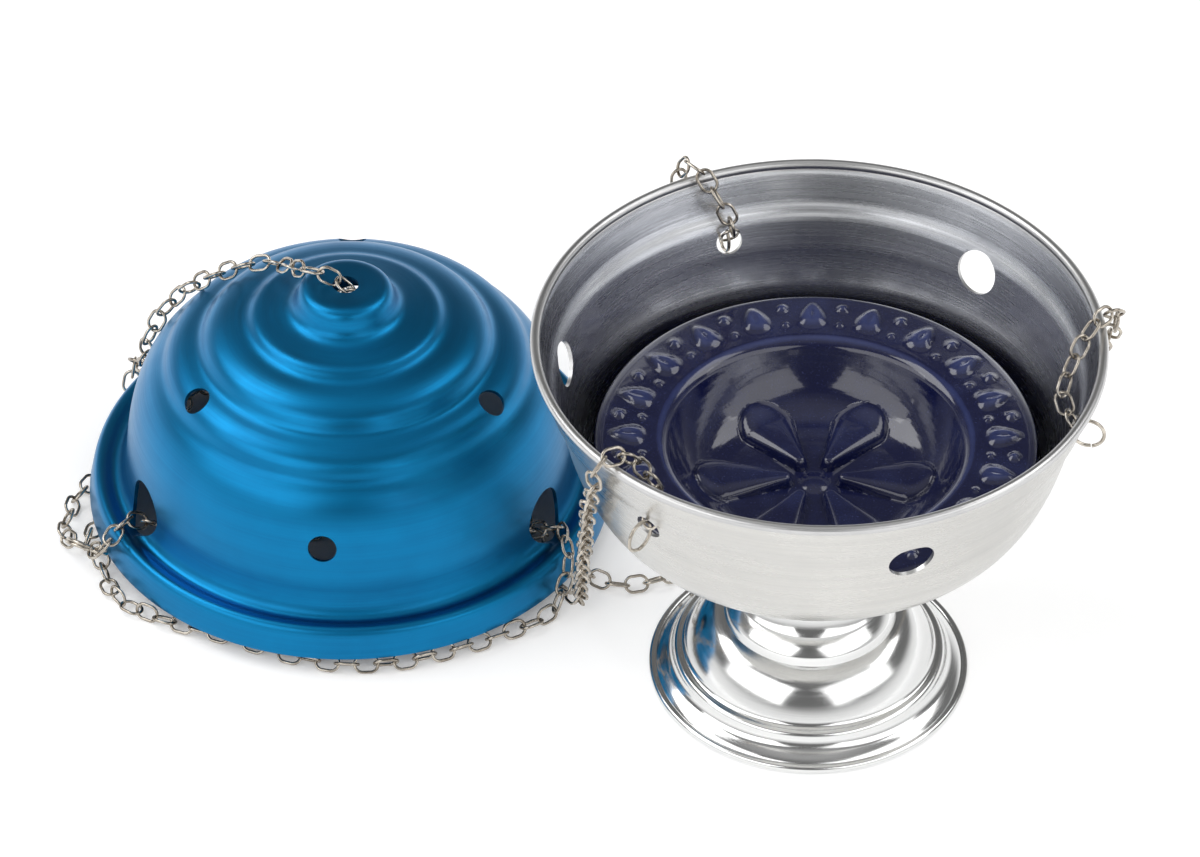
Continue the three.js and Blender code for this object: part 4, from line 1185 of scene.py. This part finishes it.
dress(make_foot(), "foot", "bowl")
dress(make_bowl(), "bowl", "bowl")
dress(make_rivet(), "foot_rivet", "bowl")
dress(make_washer(), "rivet_washer", "bowl")
dress(make_dish(), "ceramic_dish", "ceramic_dish")
dress(make_lid(), "lid", "lid")

for key in BOWL_CHAINS:
    place = chain_hole_frame(key) @ Matrix.Translation((RING_DISTANCE, 0, 0))
    ring = jump_ring(key + "_ring_wire", place, -60)
    dress(ring, key + "_jump_ring", key + "_jump_ring")
    link = wire_link(key + "_link_wire", bowl_link_matrix(key))
    dress(link, key + "_end_link", "bowl")

tilt = math.radians(LID_LINK_TILT)
drop = Vector((-LINK_HALF * math.cos(tilt), 0, -LINK_HALF * math.sin(tilt) - JUMP_RING_RADIUS + HOOK))
place = lid_link_frame() @ Matrix.Translation(drop)
ring = jump_ring("lid_ring_wire", place, -90)
dress(ring, "lid_ring", "lid_ring")
dress(wire_link("lid_link_wire", lid_link_matrix()), "lid_link", "lid")

gathering = make_gathering_ring()
dress(gathering, "gathering_ring", "gathering_ring")

for key, runs in CHAINS.items():
    for name, piece, route in make_chain(key, runs):
        declare_chain(name, piece, route, gathering)


# Floor, world, light and camera, in metres, with the camera's own values in pixels, degrees and millimetres

FLOOR_SIZE = 6.0
FLOOR_GAP = 0.00005
FLOOR_GLOW = 0.34
FLOOR_NEAR = 0.6
FLOOR_FAR = 1.6
STUDIO_STOPS = [(0.0, 1.0), (0.1, 0.95), (0.34, 0.16), (0.74, 0.13), (1.0, 0.45)]
STUDIO_FILL = 0.42
LIGHT_TARGET = (0.0, 0.0, 0.05)
PHOTO_WIDTH = 1200
FOCAL_PIXELS = 6892
SENSOR_WIDTH = 36
CAMERA_TILT = 40.81
CAMERA_ROLL = 0.367
CAMERA_DISTANCE = 2191.3
CAMERA_TARGET = (BOWL_X - 64.2, BOWL_Y + 109.9, 0)


def outside_painted_shadow(n, x, y, dark, bright):
    """The painted shadow's mask: from 0 within one distance of a place to 1 beyond another."""
    offset = n.vector("SUBTRACT", n.place(), (x * MM, y * MM, 0))
    return n.span(n.vector("LENGTH", offset), dark * MM, bright * MM, 0.0, 1.0)


def floor_material():
    """Pale floor: white to the camera and in reflections, with the object's soft shadow kept on it, and a
    painted shadow under the lid and the foot.
    """
    n = Nodes(bpy.data.materials.new("pale_floor"))
    grain = n.noise(n.place(), 4.0, 2.0, 0.5)
    diffuse = n.add("ShaderNodeBsdfDiffuse", {0: n.mix(grain, (0.8, 0.8, 0.8, 1), (0.83, 0.83, 0.83, 1))})
    # Under the lid and the foot the glow is taken away: a painted shadow there, on top of the cast shadow,
    # so that no hole shows the floor white.
    clear = n.math("MULTIPLY", outside_painted_shadow(n, LID_X, LID_Y, 70, 84), outside_painted_shadow(n, BOWL_X, BOWL_Y, 40, 49))
    far = n.span(n.vector("LENGTH", n.place()), FLOOR_NEAR, FLOOR_FAR, FLOOR_GLOW, 1.0)
    glow = n.add("ShaderNodeEmission", {0: (1, 1, 1, 1), 1: n.math("MULTIPLY", clear, far)})
    both = n.add("ShaderNodeAddShader", {0: diffuse.outputs[0], 1: glow.outputs[0]})
    return n.choose(diffuse, both)


def make_floor():
    half = FLOOR_SIZE / 2
    corners = [(-half, -half), (half, -half), (half, half), (-half, half)]
    corners = [(x, y, -FLOOR_GAP) for x, y in corners]
    add_object("floor", corners, [(0, 1, 2, 3)], [floor_material()])


def area_light(name, place, width, height, watts):
    data = bpy.data.lights.new(name, "AREA")
    data.shape = "RECTANGLE"
    data.size = width
    data.size_y = height
    data.energy = watts
    lamp = bpy.data.objects.new(name, data)
    lamp.location = place
    aim = Vector(LIGHT_TARGET) - Vector(place)
    lamp.rotation_euler = aim.to_track_quat("-Z", "Y").to_euler()
    bpy.context.scene.collection.objects.link(lamp)


def make_world():
    """A studio for reflections, bright near the floor and dark above, and an even light from all sides."""
    world = bpy.data.worlds.new("studio")
    bpy.context.scene.world = world
    n = Nodes(world, "ShaderNodeOutputWorld")
    up = n.split(n.add("ShaderNodeTexCoord").outputs["Generated"])[2]
    ramp = n.add("ShaderNodeValToRGB", {0: up})
    ramp.color_ramp.interpolation = "EASE"
    elements = ramp.color_ramp.elements
    for position, _ in STUDIO_STOPS[1:-1]:
        elements.new(position)
    for element, (_, level) in zip(elements, STUDIO_STOPS):
        element.color = (level, level, level, 1)
    seen = n.add("ShaderNodeBackground", {0: ramp.outputs[0]})
    fill = n.add("ShaderNodeBackground", {0: (1, 1, 1, 1), 1: STUDIO_FILL})
    n.choose(fill, seen)


def make_camera():
    """The photograph's view: tilt, lens and distance fitted to the ellipses of rim, foot and lid."""
    tilt_down = math.radians(CAMERA_TILT)
    roll = math.radians(CAMERA_ROLL)
    forward = Vector((0, math.cos(tilt_down), -math.sin(tilt_down)))
    right = Vector((1, 0, 0))
    up = right.cross(forward)
    side = right * math.cos(roll) + up * math.sin(roll)
    top = up * math.cos(roll) - right * math.sin(roll)
    data = bpy.data.cameras.new("camera")
    data.sensor_fit = "HORIZONTAL"
    data.sensor_width = SENSOR_WIDTH
    data.lens = FOCAL_PIXELS / PHOTO_WIDTH * SENSOR_WIDTH
    data.clip_end = 20
    camera = bpy.data.objects.new("camera", data)
    matrix = Matrix((side, top, -forward)).transposed().to_4x4()
    matrix.translation = (Vector(CAMERA_TARGET) - forward * CAMERA_DISTANCE) * MM
    camera.matrix_world = matrix
    bpy.context.scene.collection.objects.link(camera)
    bpy.context.scene.camera = camera


make_floor()
make_world()
area_light("left_box", (-1.3, -1.0, 1.15), 2.2, 1.2, 15)
area_light("right_box", (1.3, -1.0, 1.15), 2.2, 1.2, 13)
area_light("high_left_box", (-1.12, 0.3, 1.38), 0.9, 1.1, 10)
area_light("high_right_box", (1.12, 0.3, 1.38), 0.9, 0.9, 6)
make_camera()
bpy.context.scene.view_settings.view_transform = "Standard"
